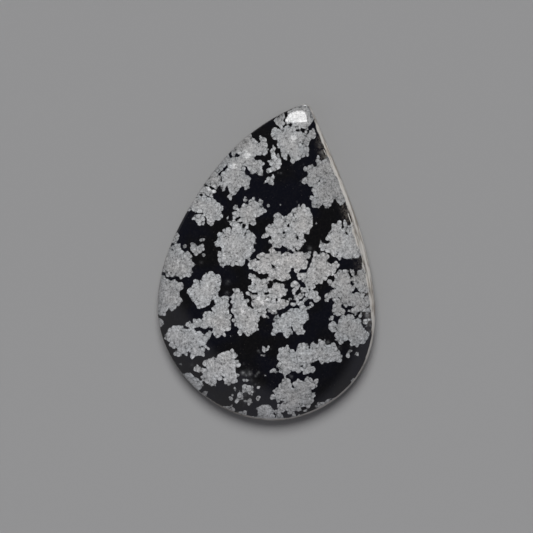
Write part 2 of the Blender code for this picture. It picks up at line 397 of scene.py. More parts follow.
        (315.3, 369.4), (314.4, 372), (312, 373), (309.4, 372.8), (307.2, 373.4), (305.3, 374), (303.4, 373),
        (302.5, 371.3), (301.3, 370.6), (300, 372), (298, 372.8), (296, 372.2), (294.7, 370.6), (293, 371.3),
        (291.3, 371.3), (289.7, 372), (288.8, 373), (286.3, 374.4), (283.8, 375), (282, 373.8), (280.3, 372),
        (279, 369.7), (277, 367.8), (275.6, 365.6), (276.6, 363.4), (278.4, 362), (278.8, 360.3),
        (277.5, 358.4), (277.5, 355.6), (278, 353), (277.8, 350.6),
    ), tone=0.95, cool=0.3),
    Flake("lower_long_bead", (
        (270.2, 370), (271.3, 368.8), (273.8, 368.3), (276.3, 369), (277.3, 370.6), (276.6, 372.2),
        (275, 372.8), (272.2, 372.2), (270.3, 371.6),
    ), tone=0.9),
    Flake("hook", (
        (262, 347.5), (263.5, 346.2), (265.4, 346.4), (266.6, 347.4), (267.6, 346), (268.3, 344.6),
        (269, 346), (268.8, 348.2), (267.4, 349.6), (266, 350.8), (264.4, 351.6), (262.8, 350.6),
        (262, 349.2),
    ), tone=0.92),
    Flake("hook_foot", (
        (261, 353.5), (263.5, 353.2), (266, 352.3), (266.8, 353.2), (265, 355), (262.5, 355.8), (260.8, 355),
    ), tone=0.85),
    Flake("bottom", (
        (280, 383), (281, 381.3), (282, 379.4), (283.8, 378.4), (285, 377), (287.2, 377.5), (289, 378.8),
        (290, 380), (291, 382), (292.2, 383.4), (293.4, 381.6), (295.6, 379.7), (296.6, 378), (297.8, 377.2),
        (298.8, 378.4), (300, 379.7), (302, 379.7), (304, 379.7), (305.3, 378), (307.5, 376.6), (310, 377),
        (311.3, 378.8), (313, 380), (315, 379), (317, 378), (318, 378.8), (318, 381.6), (317.5, 385),
        (316, 387.8), (313.4, 389.4), (311.6, 390.3), (312.8, 391.6), (314.4, 392.5), (315.3, 394.4),
        (314.7, 396), (313.4, 397.5), (314.4, 399.7), (313.4, 401.3), (312, 402.5), (311.6, 404.4),
        (310.3, 406.3), (309, 407.8), (308, 409.4), (306.5, 411), (303, 411.5), (300, 411), (299.5, 413.5),
        (300.5, 416), (297, 418), (293.5, 418.5), (291.5, 416.5), (291.5, 414), (289.5, 414.2), (287, 413.3),
        (286.8, 411.3), (286.2, 410.3), (283.5, 411.2), (280.8, 412.8), (282, 415), (283.5, 417.5),
        (285, 420), (281, 421), (276.8, 421), (275.5, 416.5), (275, 413.8), (274.6, 412), (275.3, 410),
        (277, 408.8), (276.6, 406.6), (277.5, 404.4), (279, 404.3), (281, 403.8), (281.4, 402.4),
        (282.8, 401.3), (284.4, 400.4), (283.8, 399.6), (282.2, 399.8), (280.6, 400.6), (279.4, 402),
        (277, 401), (275, 399.4), (273, 398.8), (270.3, 398.4), (269.4, 397), (270, 395.3), (271.6, 394),
        (273.8, 394.7), (275, 394), (274, 392.5), (273.4, 390.3), (274.7, 388.4), (277, 387), (279, 385),
    ), tone=0.92, cool=-0.1),
    Flake("bottom_edge", (
        (254.7, 408.8), (255, 407.3), (256.5, 406.2), (258.8, 406.6), (260, 405.5), (262.5, 404.4),
        (265, 404), (268, 404.3), (270.6, 405.3), (272.5, 407), (273.5, 409), (273.8, 411.5), (274, 414.5),
        (275, 417), (275.5, 424), (266, 426), (255, 424), (249, 421), (252, 417), (255.5, 416.5),
        (257.2, 415), (257.2, 413.6), (256.6, 412.3), (257, 410.4), (255.5, 410),
    ), tone=0.95, cool=0.2),
    Flake("bottom_right_strip", (
        (315.3, 405.3), (317, 403), (319.6, 401.5), (321.5, 402.2), (323.5, 402), (325.5, 400.8),
        (327.5, 398.8), (330.5, 397.4), (333, 398.3), (336, 398), (339, 396.6), (344, 396), (334, 408),
        (320, 414), (316.3, 408),
    ), tone=0.86, cool=-0.3),
    Flake("right_edge_scale", (
        (351.5, 380), (354, 378.5), (357, 378), (362, 380), (354, 390), (350.3, 386), (350.8, 383),
    ), tone=0.72),
    Flake("lower_cluster", (
        (242.2, 387.5), (243, 385), (245, 383), (247, 383.4), (248, 384.7), (250, 385.3), (252.5, 385.3),
        (253.8, 387), (253.8, 389), (252.8, 390.6), (253, 392.5), (252, 394), (250.3, 394.4), (248.8, 393.4),
        (247.5, 392.2), (245, 391.6), (242.8, 391.3), (242, 389.4),
    ), tone=0.95),
    Flake("lower_cluster_diamond", (
        (240, 391), (242.3, 394), (243.8, 397.4), (240.5, 400.6), (236.3, 402), (235, 399.5), (237.3, 394.5),
    ), tone=0.95),
    Flake("lower_cluster_chip", (
        (245, 399.8), (247.8, 399), (250, 396.2), (251.6, 399), (250.6, 402.4), (247.5, 403), (245, 401.6),
    ), tone=0.72),
    Flake("lower_cluster_left", (
        (239.4, 390.6), (240.6, 391), (242.2, 392.5), (243, 394.4), (244.4, 396.6), (243.4, 398.8),
        (241, 400), (238.8, 401.6), (236.3, 402.8), (234.7, 401.6), (235.3, 399.4), (235.3, 397.2),
        (237, 395.3), (238.8, 393.8), (239, 392),
    ), tone=0.98),
    Flake("lower_cluster_foot", (
        (247.5, 401.5), (248.5, 399.5), (250, 398.8), (251.5, 400.5), (251.3, 403), (249.8, 404.8),
        (248, 404), (247, 402.5),
    ), tone=0.75),
    Flake("lower_cluster_head", (
        (243.3, 378.5), (245, 378), (247.5, 379), (248, 380), (246.5, 381.5), (244, 381.5), (243.3, 380.3),
    ), tone=0.75),
    Flake("bottom_left_bead", (
        (238, 411.5), (240, 412), (243, 410.8), (245.5, 410.5), (247, 412), (246.3, 414.3), (243.5, 415.3),
        (240.5, 415), (238, 413.5),
    ), tone=0.78, cool=-0.2),
    Flake("bottom_left_rim", (
        (224, 406.5), (228, 406.5), (230.5, 405), (232.5, 405.5), (234, 407.5), (235, 409.5), (233.5, 413),
        (229, 413), (223, 409),
    ), tone=0.82, cool=-0.5),
    Flake("bottom_left_corner", (
        (201.5, 393), (203.5, 391.5), (206, 391.5), (208.5, 391.3), (207.5, 394), (205.5, 396.5),
        (202.5, 395.5),
    ), tone=0.62, cool=-0.3),
    Flake("lower_left", (
        (202.8, 362), (204.2, 359.7), (207.6, 358), (212.8, 356), (215.5, 356.3), (216.8, 357.8),
        (216.6, 354.5), (218, 353.2), (222, 352.2), (226, 350.5), (233, 349), (235.8, 350.5), (238.2, 353.4),
        (237, 357.3), (234.2, 358.6), (237.5, 359.8), (240.5, 363.7), (239.8, 366.6), (236.3, 368.3),
        (235.2, 370.6), (237, 373), (240, 375.3), (237.4, 377), (237.5, 380.4), (234.6, 383.2),
        (231.8, 384.4), (228.3, 385), (225.4, 383.2), (224.2, 380.4), (222, 379), (219.7, 380.3),
        (216.5, 379.3), (217.4, 382), (216.3, 385.6), (213.4, 385.6), (209, 384), (205.4, 382), (202, 379.2),
        (202, 375.2), (204.2, 373.4), (201.3, 373), (198, 373), (194, 369.5), (194.5, 366), (197.3, 364.3),
        (201.3, 366), (205, 368.3), (206.5, 367.6), (203.5, 365),
    ), tone=1.08),
    Flake("left_long", (
        (165, 335), (167.5, 331), (171.5, 327), (176, 325.3), (179.5, 324.7), (183, 326.4), (185.3, 328.8),
        (190, 328.3), (194.5, 328.5), (197.3, 330.4), (201.3, 331.5), (203.6, 333.3), (207.6, 332),
        (211, 331), (211.8, 334.4), (211, 338.5), (208.2, 339.6), (207, 342), (208.2, 346), (209.8, 349.3),
        (208, 349.2), (205.5, 347), (202, 345.5), (204.5, 348.5), (205.5, 351.2), (204.2, 355.6),
        (202, 355.8), (199.6, 355), (197.3, 356.3), (194.4, 356.8), (192.7, 359.2), (191, 358.6), (190, 355),
        (189, 350), (188.2, 350), (187.6, 354.6), (184.7, 355), (183, 354), (181.2, 356.2), (178.4, 356.6),
        (173.8, 354.5), (173.2, 352.3), (176.5, 349.5), (176, 347.6), (172.6, 348.2), (169.2, 345.4),
        (170.3, 342.5), (167.5, 340.5), (165, 339),
    ), cool=0.3),
    Flake("left_branch", (
        (214.5, 300.5), (217.5, 297.6), (220.6, 296.3), (224, 296.3), (227.5, 295.6), (229.4, 297.5),
        (229.3, 302), (229, 306), (229, 311.5), (231.5, 313.5), (232.3, 315), (230.7, 317.2), (230.6, 320),
        (231.8, 325.3), (231.3, 329.5), (228, 331), (224.5, 331), (225, 333), (226.5, 335.5), (224.5, 337),
        (222.8, 334.6), (220.3, 336.7), (217, 337), (215, 336.2), (213.3, 334), (212.8, 329), (211, 328.3),
        (206, 328), (203.5, 328), (197.5, 328), (194.5, 327.6), (190, 328.2), (187, 326.5), (185, 325),
        (187.5, 322), (191, 321.5), (193, 322.5), (193.3, 320.5), (194.5, 318.6), (199.6, 319),
        (201.5, 319.5), (202.5, 317), (204.2, 314.4), (205.8, 311.5), (208.8, 311), (213, 311), (211, 309),
        (209.5, 307.5), (213.5, 305.5), (216.5, 303.4),
    ), cool=0.1),
    Flake("left_branch_right", (
        (233, 292), (233.8, 288.5), (236.3, 288), (239.4, 288.8), (240.3, 291), (242, 290.7), (243.8, 292.5),
        (244, 294.8), (242.3, 297.8), (245, 298.7), (247.5, 298.3), (249.5, 300), (247.5, 302.5),
        (247, 304.5), (248.5, 306), (250.5, 305.5), (253, 308), (257, 311.5), (260.3, 313.8), (259.3, 316.3),
        (259.7, 319.4), (257.5, 322.5), (257.8, 326.3), (258.4, 329.4), (255, 331.6), (252.5, 334.3),
        (249, 336.6), (246.8, 335), (245.8, 333), (243.2, 332.7), (241.8, 334.7), (239.4, 334.7), (238, 332),
        (238.7, 328), (236.2, 325.5), (233, 322), (232.3, 320), (234.7, 317.5), (234.8, 315), (233, 313.8),
        (231, 310), (232.5, 304.5), (231.5, 302), (231.5, 298.5),
    )),
    Flake("left_middle", (
        (209.4, 270.2), (212, 271), (213.8, 272.8), (216.3, 273.8), (220, 274.4), (221.3, 277),
        (222.8, 281.5), (220.6, 283.5), (220, 286.5), (219.6, 290.5), (218.8, 294), (216.8, 296.5),
        (215, 299.4), (212, 301.2), (210, 303.4), (207, 306.3), (203, 307.5), (200.5, 309), (197, 306.5),
        (195, 303), (192.3, 301), (189.5, 297.7), (189, 294.4), (187.2, 291.2), (190, 287.5), (192, 285),
        (193.7, 283.7), (194, 280.6), (195.7, 279), (197.5, 279.7), (199.5, 282.5), (201, 278.8),
        (203.2, 276.3), (206.3, 273),
    ), tone=1.05, cool=0.5),
    Flake("left_edge_upper", (
        (168, 246), (174.4, 245), (177, 243.8), (178.8, 242.7), (181, 242.4), (181.6, 244.4), (180.6, 246.6),
        (181.3, 248.8), (182.5, 250.6), (186.3, 252.2), (189, 252), (191, 253), (192, 256.3), (192.2, 260),
        (195.3, 263.8), (194, 266.3), (192.4, 268.3), (193.2, 270.7), (194, 272.5), (192.5, 275),
        (190, 276.6), (183, 277.2), (181.5, 279), (180, 278.8), (178.5, 277), (173.8, 277.8), (170.6, 277.5),
        (167.5, 276.2), (165.6, 274.7), (163, 271.5), (154, 268), (160, 250),
    ), tone=0.86, cool=0.2),
    Flake("left_edge_middle", (
        (154, 274), (163, 275.2), (165.6, 278.2), (170, 280), (175, 279.7), (176.6, 282), (179, 282.5),
        (182, 281.6), (183.8, 283.8), (184.4, 286.3), (183.4, 288.8), (181.2, 290.3), (180.3, 292.5),
        (180.6, 297), (182.6, 299.4), (182, 302.5), (180, 304.5), (177.2, 306.3), (175.5, 308.6),
        (173.2, 310.6), (171, 310), (168.6, 309), (167, 311.5), (165.7, 314.4), (164, 315.5), (157, 314),
        (151, 300), (151, 285),
    ), tone=0.82, cool=0.2),
    Flake("left_bead", (
        (190.3, 243), (192.5, 241.3), (195, 242), (197, 243.8), (197.6, 245.7), (200, 246.2), (200.4, 244.6),
        (203, 244), (204.4, 247), (203.8, 250.6), (201.3, 252.5), (196, 255.6), (193.8, 254), (192, 252),
        (190.4, 249.5), (190.2, 247.5), (192, 246.3),
    ), tone=0.76, cool=0.2),
    Flake("left_edge_bead", (
        (176, 230), (179.7, 234.4), (179.4, 237.5), (177.8, 240), (177.2, 242.8), (176, 243), (166, 244),
        (170, 232),
    ), tone=0.9),
    Flake("left_edge_fleck", (
        (157, 315), (162, 318.5), (163.2, 323), (162.8, 326), (160.5, 328.5), (156, 328), (154, 318),
    ), tone=0.92),
    Flake("lower_left_edge", (
        (182, 374), (187, 371.8), (190.4, 371.8), (192, 374), (194.4, 376.3), (198.5, 378.6), (202, 382),
        (203.6, 385), (202.5, 387.8), (200.2, 389.6), (196, 392), (186, 386), (180, 377),
    ), tone=0.97, cool=0.4),
)

GAPS = (
    Gap(((350, 282), (351, 281.3), (352, 283), (356, 282.8), (354.5, 284.6), (352, 285.2), (350.5, 284))),
    Gap((
        (352, 291.5), (354, 290.5), (355.3, 288), (356.3, 288.4), (358, 291), (358.6, 292), (356, 291.5),
        (354, 292), (352.5, 292.4),
    )),
    Gap(((362, 290.3), (363, 290.9), (364.2, 292.4), (363.2, 293.4), (362.3, 292))),
    Gap((
        (340.6, 304.8), (342, 304.8), (343.6, 306), (345.5, 306.8), (347.5, 305.7), (350, 305.5),
        (351.9, 305.8), (351, 307.5), (350.3, 309.5), (348, 310.5), (347, 311.7), (347.2, 313.4),
        (345.7, 314.5), (344.3, 315.2), (344.6, 312.5), (345.2, 310.5), (343.5, 308.5), (341.5, 307),
    )),
    Gap((
        (333.5, 315), (336, 316.2), (339, 315.6), (341, 314.8), (339, 318), (337.5, 321.5), (336.3, 322.2),
        (335, 320), (333, 319.6), (333, 317.5),
    )),
    Gap(((301.5, 405.5), (304, 406.5), (306.5, 408), (305.5, 409.8), (303, 410), (301.2, 409), (300.8, 407))),
    Gap(((295, 411.8), (298.8, 412.3), (299, 415), (297, 416), (295.2, 414.5))),
    Gap((
        (283.5, 413.8), (286.5, 413), (288, 414.6), (290.5, 414.3), (291, 416.5), (288.5, 418),
        (285.5, 417.6), (283.8, 416),
    )),
    Gap(((281, 413.3), (284, 411.5), (286.3, 410.4), (286.8, 411.6), (284.5, 413.6), (282, 414.2))),
    Gap(((364.4, 314), (370.6, 313.2), (371, 317.4), (366.4, 318.2), (363, 318), (362.8, 316.2))),
    Gap(((230, 203.5), (240.4, 202), (238.8, 207), (237.4, 211), (235, 211.4), (232.4, 212.4), (230, 211))),
    Gap(((370, 322), (371.6, 319), (371.4, 333), (369, 332.6), (366, 330), (368, 327))),
)

SLITS = (
    Slit(((285, 124), (288, 124), (292, 124.6)), 1.3),
    Slit(((296.6, 131.2), (300, 129.4), (303, 129), (306, 132.4), (310, 129.6)), 1.6),
    Slit(((317.3, 183.6), (319.8, 181)), 1.5),
    Slit(((237.2, 155), (237.8, 155.4)), 3.2),
    Slit(((230.4, 152), (230.6, 156.4)), 2.0),
    Slit(((219.3, 174.2), (223, 170.6), (226.6, 166.4)), 2.2),
    Slit(((244.6, 166), (247.2, 168.4), (247.6, 173), (249.4, 175.8)), 1.5),
    Slit(((197, 195), (206, 195.2)), 1.2),
    Slit(((213, 195.6), (215.4, 194.4)), 2.0),
    Slit(((247.5, 230.3), (246, 233), (244, 236)), 1.1),
    Slit(((288.2, 224), (288.4, 227.2)), 1.9),
    Slit(((293, 215), (295, 219)), 1.0),
    Slit(((272, 265.4), (276, 268)), 1.3),
    Slit(((264.6, 292.4), (268.6, 292.6)), 1.2),
    Slit(((304.5, 292.6), (305, 296.8), (301.5, 299.4)), 1.5),
    Slit(((363.8, 296), (366, 294.8), (368, 293.8), (369.6, 291.6)), 1.5),
    Slit(((335.2, 299.8), (338.4, 297.6)), 1.1),
    Slit(((331, 288), (333.6, 289), (336.2, 288.2)), 0.9),
    Slit((
        (347.5, 311.6), (351, 313), (353, 314.2), (353.8, 316.2), (355.8, 317), (357.4, 316), (359, 313),
    ), 1.4),
    Slit(((364, 325.6), (366.4, 324.4), (369.2, 322.6)), 1.2),
    Slit(((366, 311), (366.6, 308.2), (370.8, 305)), 1.1),
    Slit(((296.2, 360.2), (297, 358.8)), 1.5),
    Slit(((302, 366), (302.6, 365)), 2.0),
    Slit(((197, 328.7), (204, 328.8), (212, 328.7)), 1.4),
    Slit(((204, 330.2), (207, 330)), 2.4),
    Slit(((162.5, 273), (166, 277), (173, 279), (180, 280)), 1.4),
    Slit(((309, 289.4), (313, 289.3)), 0.9),
    Slit(((292.6, 383.6), (292.8, 386.6)), 1.0),
    Slit(((229.6, 296), (230.4, 304), (230, 311)), 1.0),
)

# Round black holes in the flakes.
PITS = (
    Dot(302, 144.5, 1.0), Dot(283.5, 233, 0.9), Dot(297.4, 238.3, 1.1), Dot(346.6, 232.8, 1.5),
    Dot(337, 254.5, 0.8), Dot(256.5, 267.7, 1.0), Dot(308, 254, 0.7), Dot(276.9, 299.6, 1.2),
    Dot(338.6, 297.4, 1.1), Dot(223.4, 376, 1.1), Dot(172.5, 249, 1.1), Dot(298.8, 407.6, 0.9),
    Dot(327, 344.4, 1.0), Dot(309.3, 347.2, 1.3),
)

# Small round flakes that stand by themselves.
BEADS = (
    Dot(272.5, 175.2, 1.3), Dot(228, 217.5, 1.4), Dot(268.5, 206, 1.6, 0.55), Dot(280, 205.5, 1.1, 0.5),
    Dot(316, 224.5, 1.7, 0.6), Dot(276, 313, 1.2, 0.6), Dot(268.5, 317.5, 1.0, 0.5), Dot(289.7, 298.4, 1.7),
    Dot(291, 304, 1.5), Dot(311.2, 304.4, 2.2), Dot(266, 375.6, 1.5, 0.85), Dot(257.5, 387.2, 2.1, 1.08),
    Dot(257.8, 397.5, 2.4, 0.85), Dot(308.3, 253.8, 3.1, 0.86), Dot(306, 131.5, 1.4),
    Dot(231.2, 398.2, 2.0, 0.8), Dot(233, 395.3, 1.1, 0.6), Dot(235, 388.8, 1.4, 0.75),
    Dot(231, 335.6, 1.4, 0.75), Dot(181.6, 309.6, 1.3, 0.5), Dot(181, 363.5, 1.3, 0.4),
    Dot(202.5, 239.8, 2.1, 0.6), Dot(203.5, 254.8, 1.8, 0.55), Dot(184.5, 247, 2.1, 0.7),
    Dot(235.6, 208, 2.3, 0.8),
)

# Flakes that lie a little under the polish: soft spots, told apart from the black only faintly.
GHOSTS = (
    Dot(201.5, 262.5, 2.2, 0.35), Dot(228, 282, 3.2, 0.28), Dot(227, 293, 2.4, 0.4),
    Dot(303.5, 165, 1.3, 0.3), Dot(300.5, 185, 1.3, 0.3), Dot(297, 202.5, 1.3, 0.3),
    Dot(281, 173.5, 1.6, 0.35), Dot(278, 173, 1.3, 0.3), Dot(243, 372.4, 2.6, 0.62),
    Dot(246.4, 374.4, 2.0, 0.6), Dot(250, 372.8, 2.9, 0.66), Dot(258.6, 372, 1.6, 0.56),
    Dot(257.2, 373.6, 1.4, 0.56), Dot(255.8, 375.4, 1.5, 0.58), Dot(251, 379.5, 2.6, 0.34),
    Dot(367.4, 315.6, 3.2, 0.64), Dot(370.5, 325, 2.2, 0.6), Dot(369.8, 332, 2.2, 0.6),
    Dot(322, 153, 2.6, 0.5), Dot(325, 158, 2.0, 0.5), Dot(319.5, 145, 2.2, 0.4), Dot(309.5, 248.5, 2.6, 0.4),
    Dot(245, 394, 9.0, 0.26), Dot(247, 374, 6.5, 0.28), Dot(245.6, 401, 2.6, 0.45), Dot(254, 391, 1.6, 0.35),
    Dot(244, 363.2, 1.8, 0.2), Dot(243.5, 405.5, 2.2, 0.16), Dot(192, 364.6, 3.0, 0.2),
    Dot(255.8, 384, 1.6, 0.35), Dot(258.4, 350.4, 1.7, 0.4), Dot(259.8, 352.2, 1.3, 0.35),
    Dot(271, 348.4, 1.2, 0.3), Dot(291.4, 376.2, 1.8, 0.5), Dot(289.6, 374.8, 1.4, 0.3),
    Dot(338.6, 347.6, 2.6, 0.4), Dot(350.6, 347, 1.8, 0.35), Dot(327.6, 342, 2.4, 0.45),
    Dot(234.6, 386, 2.2, 0.15), Dot(305, 313, 2.0, 0.2),
)

# Cores and patches that stand out in the flakes: brighter ones, and ones with a cold cast.
# The two bright spots near (211, 190), on the shoulder strip, are a painted highlight: a reflection on the
# left shoulder, put in as brightness. The other bright spots are the flakes' own.
BRIGHT_CORES_AND_HIGHLIGHT = (
    Dot(294, 138, 3.2, 1.0), Dot(247, 155, 4.2, 0.9), Dot(233, 167, 4.2, 0.9), Dot(258.5, 298, 3.0, 0.7),
    Dot(262, 302, 3.0, 0.7), Dot(267, 299, 2.6, 0.6), Dot(255, 215, 2.0, 0.7), Dot(243, 311, 2.0, 0.7),
    Dot(209.5, 188.2, 3.0, 1.0), Dot(213.8, 191.6, 2.4, 0.95), Dot(332.5, 273.5, 1.8, 0.6),
    Dot(368, 311, 2.6, 0.4), Dot(365.5, 321, 2.6, 0.3),
)

COOL_SPOTS = (
    Dot(275, 133, 5.0, 0.8), Dot(219, 236, 4.0, 0.7), Dot(302, 150, 5.0, 0.8), Dot(316, 200, 4.5, 0.7),
    Dot(327, 349, 6.0, 0.8), Dot(291, 353, 5.0, 0.7), Dot(342, 338, 5.0, 0.7), Dot(302, 316, 7.0, 0.5),
    Dot(203, 302, 6.0, 0.5), Dot(304, 401, 5.0, 0.4),
)

# The small flat that the polisher left across the tip. It mirrors the window.
TIP_FACET_PX = (
    (285.2, 121.2), (287.5, 116.6), (290.5, 113), (295.5, 111.6), (302.7, 111), (304.8, 113), (306.8, 118),
    (306.8, 122.2), (301.8, 122.7), (293.6, 122.8), (288.2, 122.3),
)


class RimSide(Enum):
    """Bearings round the crown, in degrees anticlockwise from the right, where the rim's look changes."""

    LOWER_LEFT = -140.0
    BOTTOM_LEFT = -112.0
    BOTTOM = -90.0
    LOWER_RIGHT = -50.0
    BELOW_RIGHT = -26.0
    RIGHT = -6.0
    RIGHT_FLANK = 14.0
    MIDDLE_FLANK = 32.0
    UPPER_FLANK = 50.0
    TIP_FLANK = 68.0
    TIP = 77.0
    LEFT_FLANK = 86.0


@dataclass(frozen=True)
class RimStretch:
    """The ground rim at one bearing: its width on the dome, below zero for none, and its brightness, partly
    painted light.
    """

    side: RimSide
    reach_mm: float
    tone: float


@dataclass(frozen=True)
class GroundRimAndSheen:
    """The fine-ground edge that the polish stops short of, with painted light on it: its width and brightness
    all the way round.
    """

    # Painted light: the tones run high on the right, where the band also stands for the steep shoulder's
    # reflection of a light from the right, and low on the left, which is turned away from that light.
    stretches: tuple[RimStretch, ...] = (
        RimStretch(RimSide.LOWER_LEFT, -0.10, 0.3),
        RimStretch(RimSide.BOTTOM_LEFT, 0.20, 0.5),
        RimStretch(RimSide.BOTTOM, 0.26, 0.5),
        RimStretch(RimSide.LOWER_RIGHT, 0.20, 0.5),
        RimStretch(RimSide.BELOW_RIGHT, 0.36, 0.74),
        RimStretch(RimSide.RIGHT, 0.70, 0.85),
        RimStretch(RimSide.RIGHT_FLANK, 0.90, 0.88),
        RimStretch(RimSide.MIDDLE_FLANK, 1.15, 0.90),
        RimStretch(RimSide.UPPER_FLANK, 0.52, 0.92),
        RimStretch(RimSide.TIP_FLANK, 0.66, 0.95),
        RimStretch(RimSide.TIP, 0.15, 0.7),
        RimStretch(RimSide.LEFT_FLANK, -0.10, 0.25),
    )

    def along(self, bearing_deg: np.ndarray, measure: str) -> np.ndarray:
        """One of the stretches' measures, spread over bearings from -180 to 180 degrees."""
        sides = [stretch.side.value for stretch in self.stretches]
        return np.interp(bearing_deg, sides, [getattr(stretch, measure) for stretch in self.stretches])


def add_object(name: str, data: bpy.types.ID) -> bpy.types.Object:
    """Puts a new object into the scene.

    Args:
        name: its name.
        data: its mesh, curve, camera or light.

    Returns:
        The object.
    """
    thing = bpy.data.objects.new(name, data)
    bpy.context.scene.collection.objects.link(thing)
    return thing


class Graph:
    """A node tree in the making: each method adds nodes and gives back the socket to go on from."""

    def __init__(self, tree: bpy.types.NodeTree) -> None:
        """Starts on a tree and empties it."""
        self.tree = tree
        self.tree.nodes.clear()

    def node(self, kind: str, **settings: object) -> bpy.types.Node:
        """Adds a node.

        Args:
            kind: the node's type name.
            settings: its properties.

        Returns:
            The new node.
        """
        node = self.tree.nodes.new(kind)
        for name, value in settings.items():
            setattr(node, name, value)
        return node

    def feed(self, socket: Socket, value: Feed) -> None:
        """Links a socket to another, or sets its value.

        Args:
            socket: the input to feed.
            value: an output socket, a number or a vector.
        """
        if isinstance(value, Socket):
            self.tree.links.new(value, socket)
        else:
            socket.default_value = value

    def wire(self, kind: str, inputs: dict[Name, Feed], output: Name = 0, **settings: object) -> Socket:
        """Adds a node and feeds it.

        Args:
            kind: the node's type name.
            inputs: what goes into its inputs, by their names or numbers.
            output: the name or number of the output that is wanted.
            settings: its properties.

        Returns:
            The wanted output.
        """
        node = self.node(kind, **settings)
        for name, value in inputs.items():
            self.feed(node.inputs[name], value)
        return node.outputs[output]

    def math(self, operation: str, *values: Feed) -> Socket:
        """The result of a Math node."""
        return self.wire("ShaderNodeMath", dict(enumerate(values)), operation=operation)

    def plus(self, *values: Feed) -> Socket:
        """The sum of several numbers."""
        return reduce(lambda total, value: self.math("ADD", total, value), values)

    def times(self, *values: Feed) -> Socket:
        """The product of several numbers."""
        return reduce(lambda total, value: self.math("MULTIPLY", total, value), values)

    def less(self, value: Feed, taken: Feed) -> Socket:
        """A number less another."""
        return self.math("SUBTRACT", value, taken)

    def off(self, value: Feed, middle: float, gain: Feed) -> Socket:
        """How far a number lies above a middle, times a gain."""
        return self.times(self.less(value, middle), gain)

    def vector(self, operation: str, *values: Feed) -> Socket:
        """The vector that a Vector Math node gives."""
        return self.wire("ShaderNodeVectorMath", dict(enumerate(values)), "Vector", operation=operation)

    def stretch(self, vector: Socket, factor: Feed) -> Socket:
        """A vector times a number."""
        inputs = {"Vector": vector, "Scale": factor}
        return self.wire("ShaderNodeVectorMath", inputs, "Vector", operation="SCALE")

    def split(self, vector: Socket) -> tuple[Socket, ...]:
        """The x, y and z of a vector."""
        return tuple(self.wire("ShaderNodeSeparateXYZ", {0: vector}).node.outputs)

    def join(self, x: Feed, y: Feed, z: Feed) -> Socket:
        """The vector of an x, a y and a z."""
        return self.wire("ShaderNodeCombineXYZ", {"X": x, "Y": y, "Z": z})

    def map_range(self, value: Feed, source: tuple[Feed, Feed], target: tuple[Feed, Feed] = (0.0, 1.0),
                  smooth: bool = False) -> Socket:
        """Maps a number from one range to another and clamps it.

        Args:
            value: the number to map.
            source: the range it comes from.
            target: the range it goes to.
            smooth: whether it eases in and out.

        Returns:
            The mapped number.
        """
        names = ("Value", "From Min", "From Max", "To Min", "To Max")
        inputs = dict(zip(names, (value, *source, *target)))
        easing = "SMOOTHSTEP" if smooth else "LINEAR"
        return self.wire("ShaderNodeMapRange", inputs, "Result", clamp=True, interpolation_type=easing)


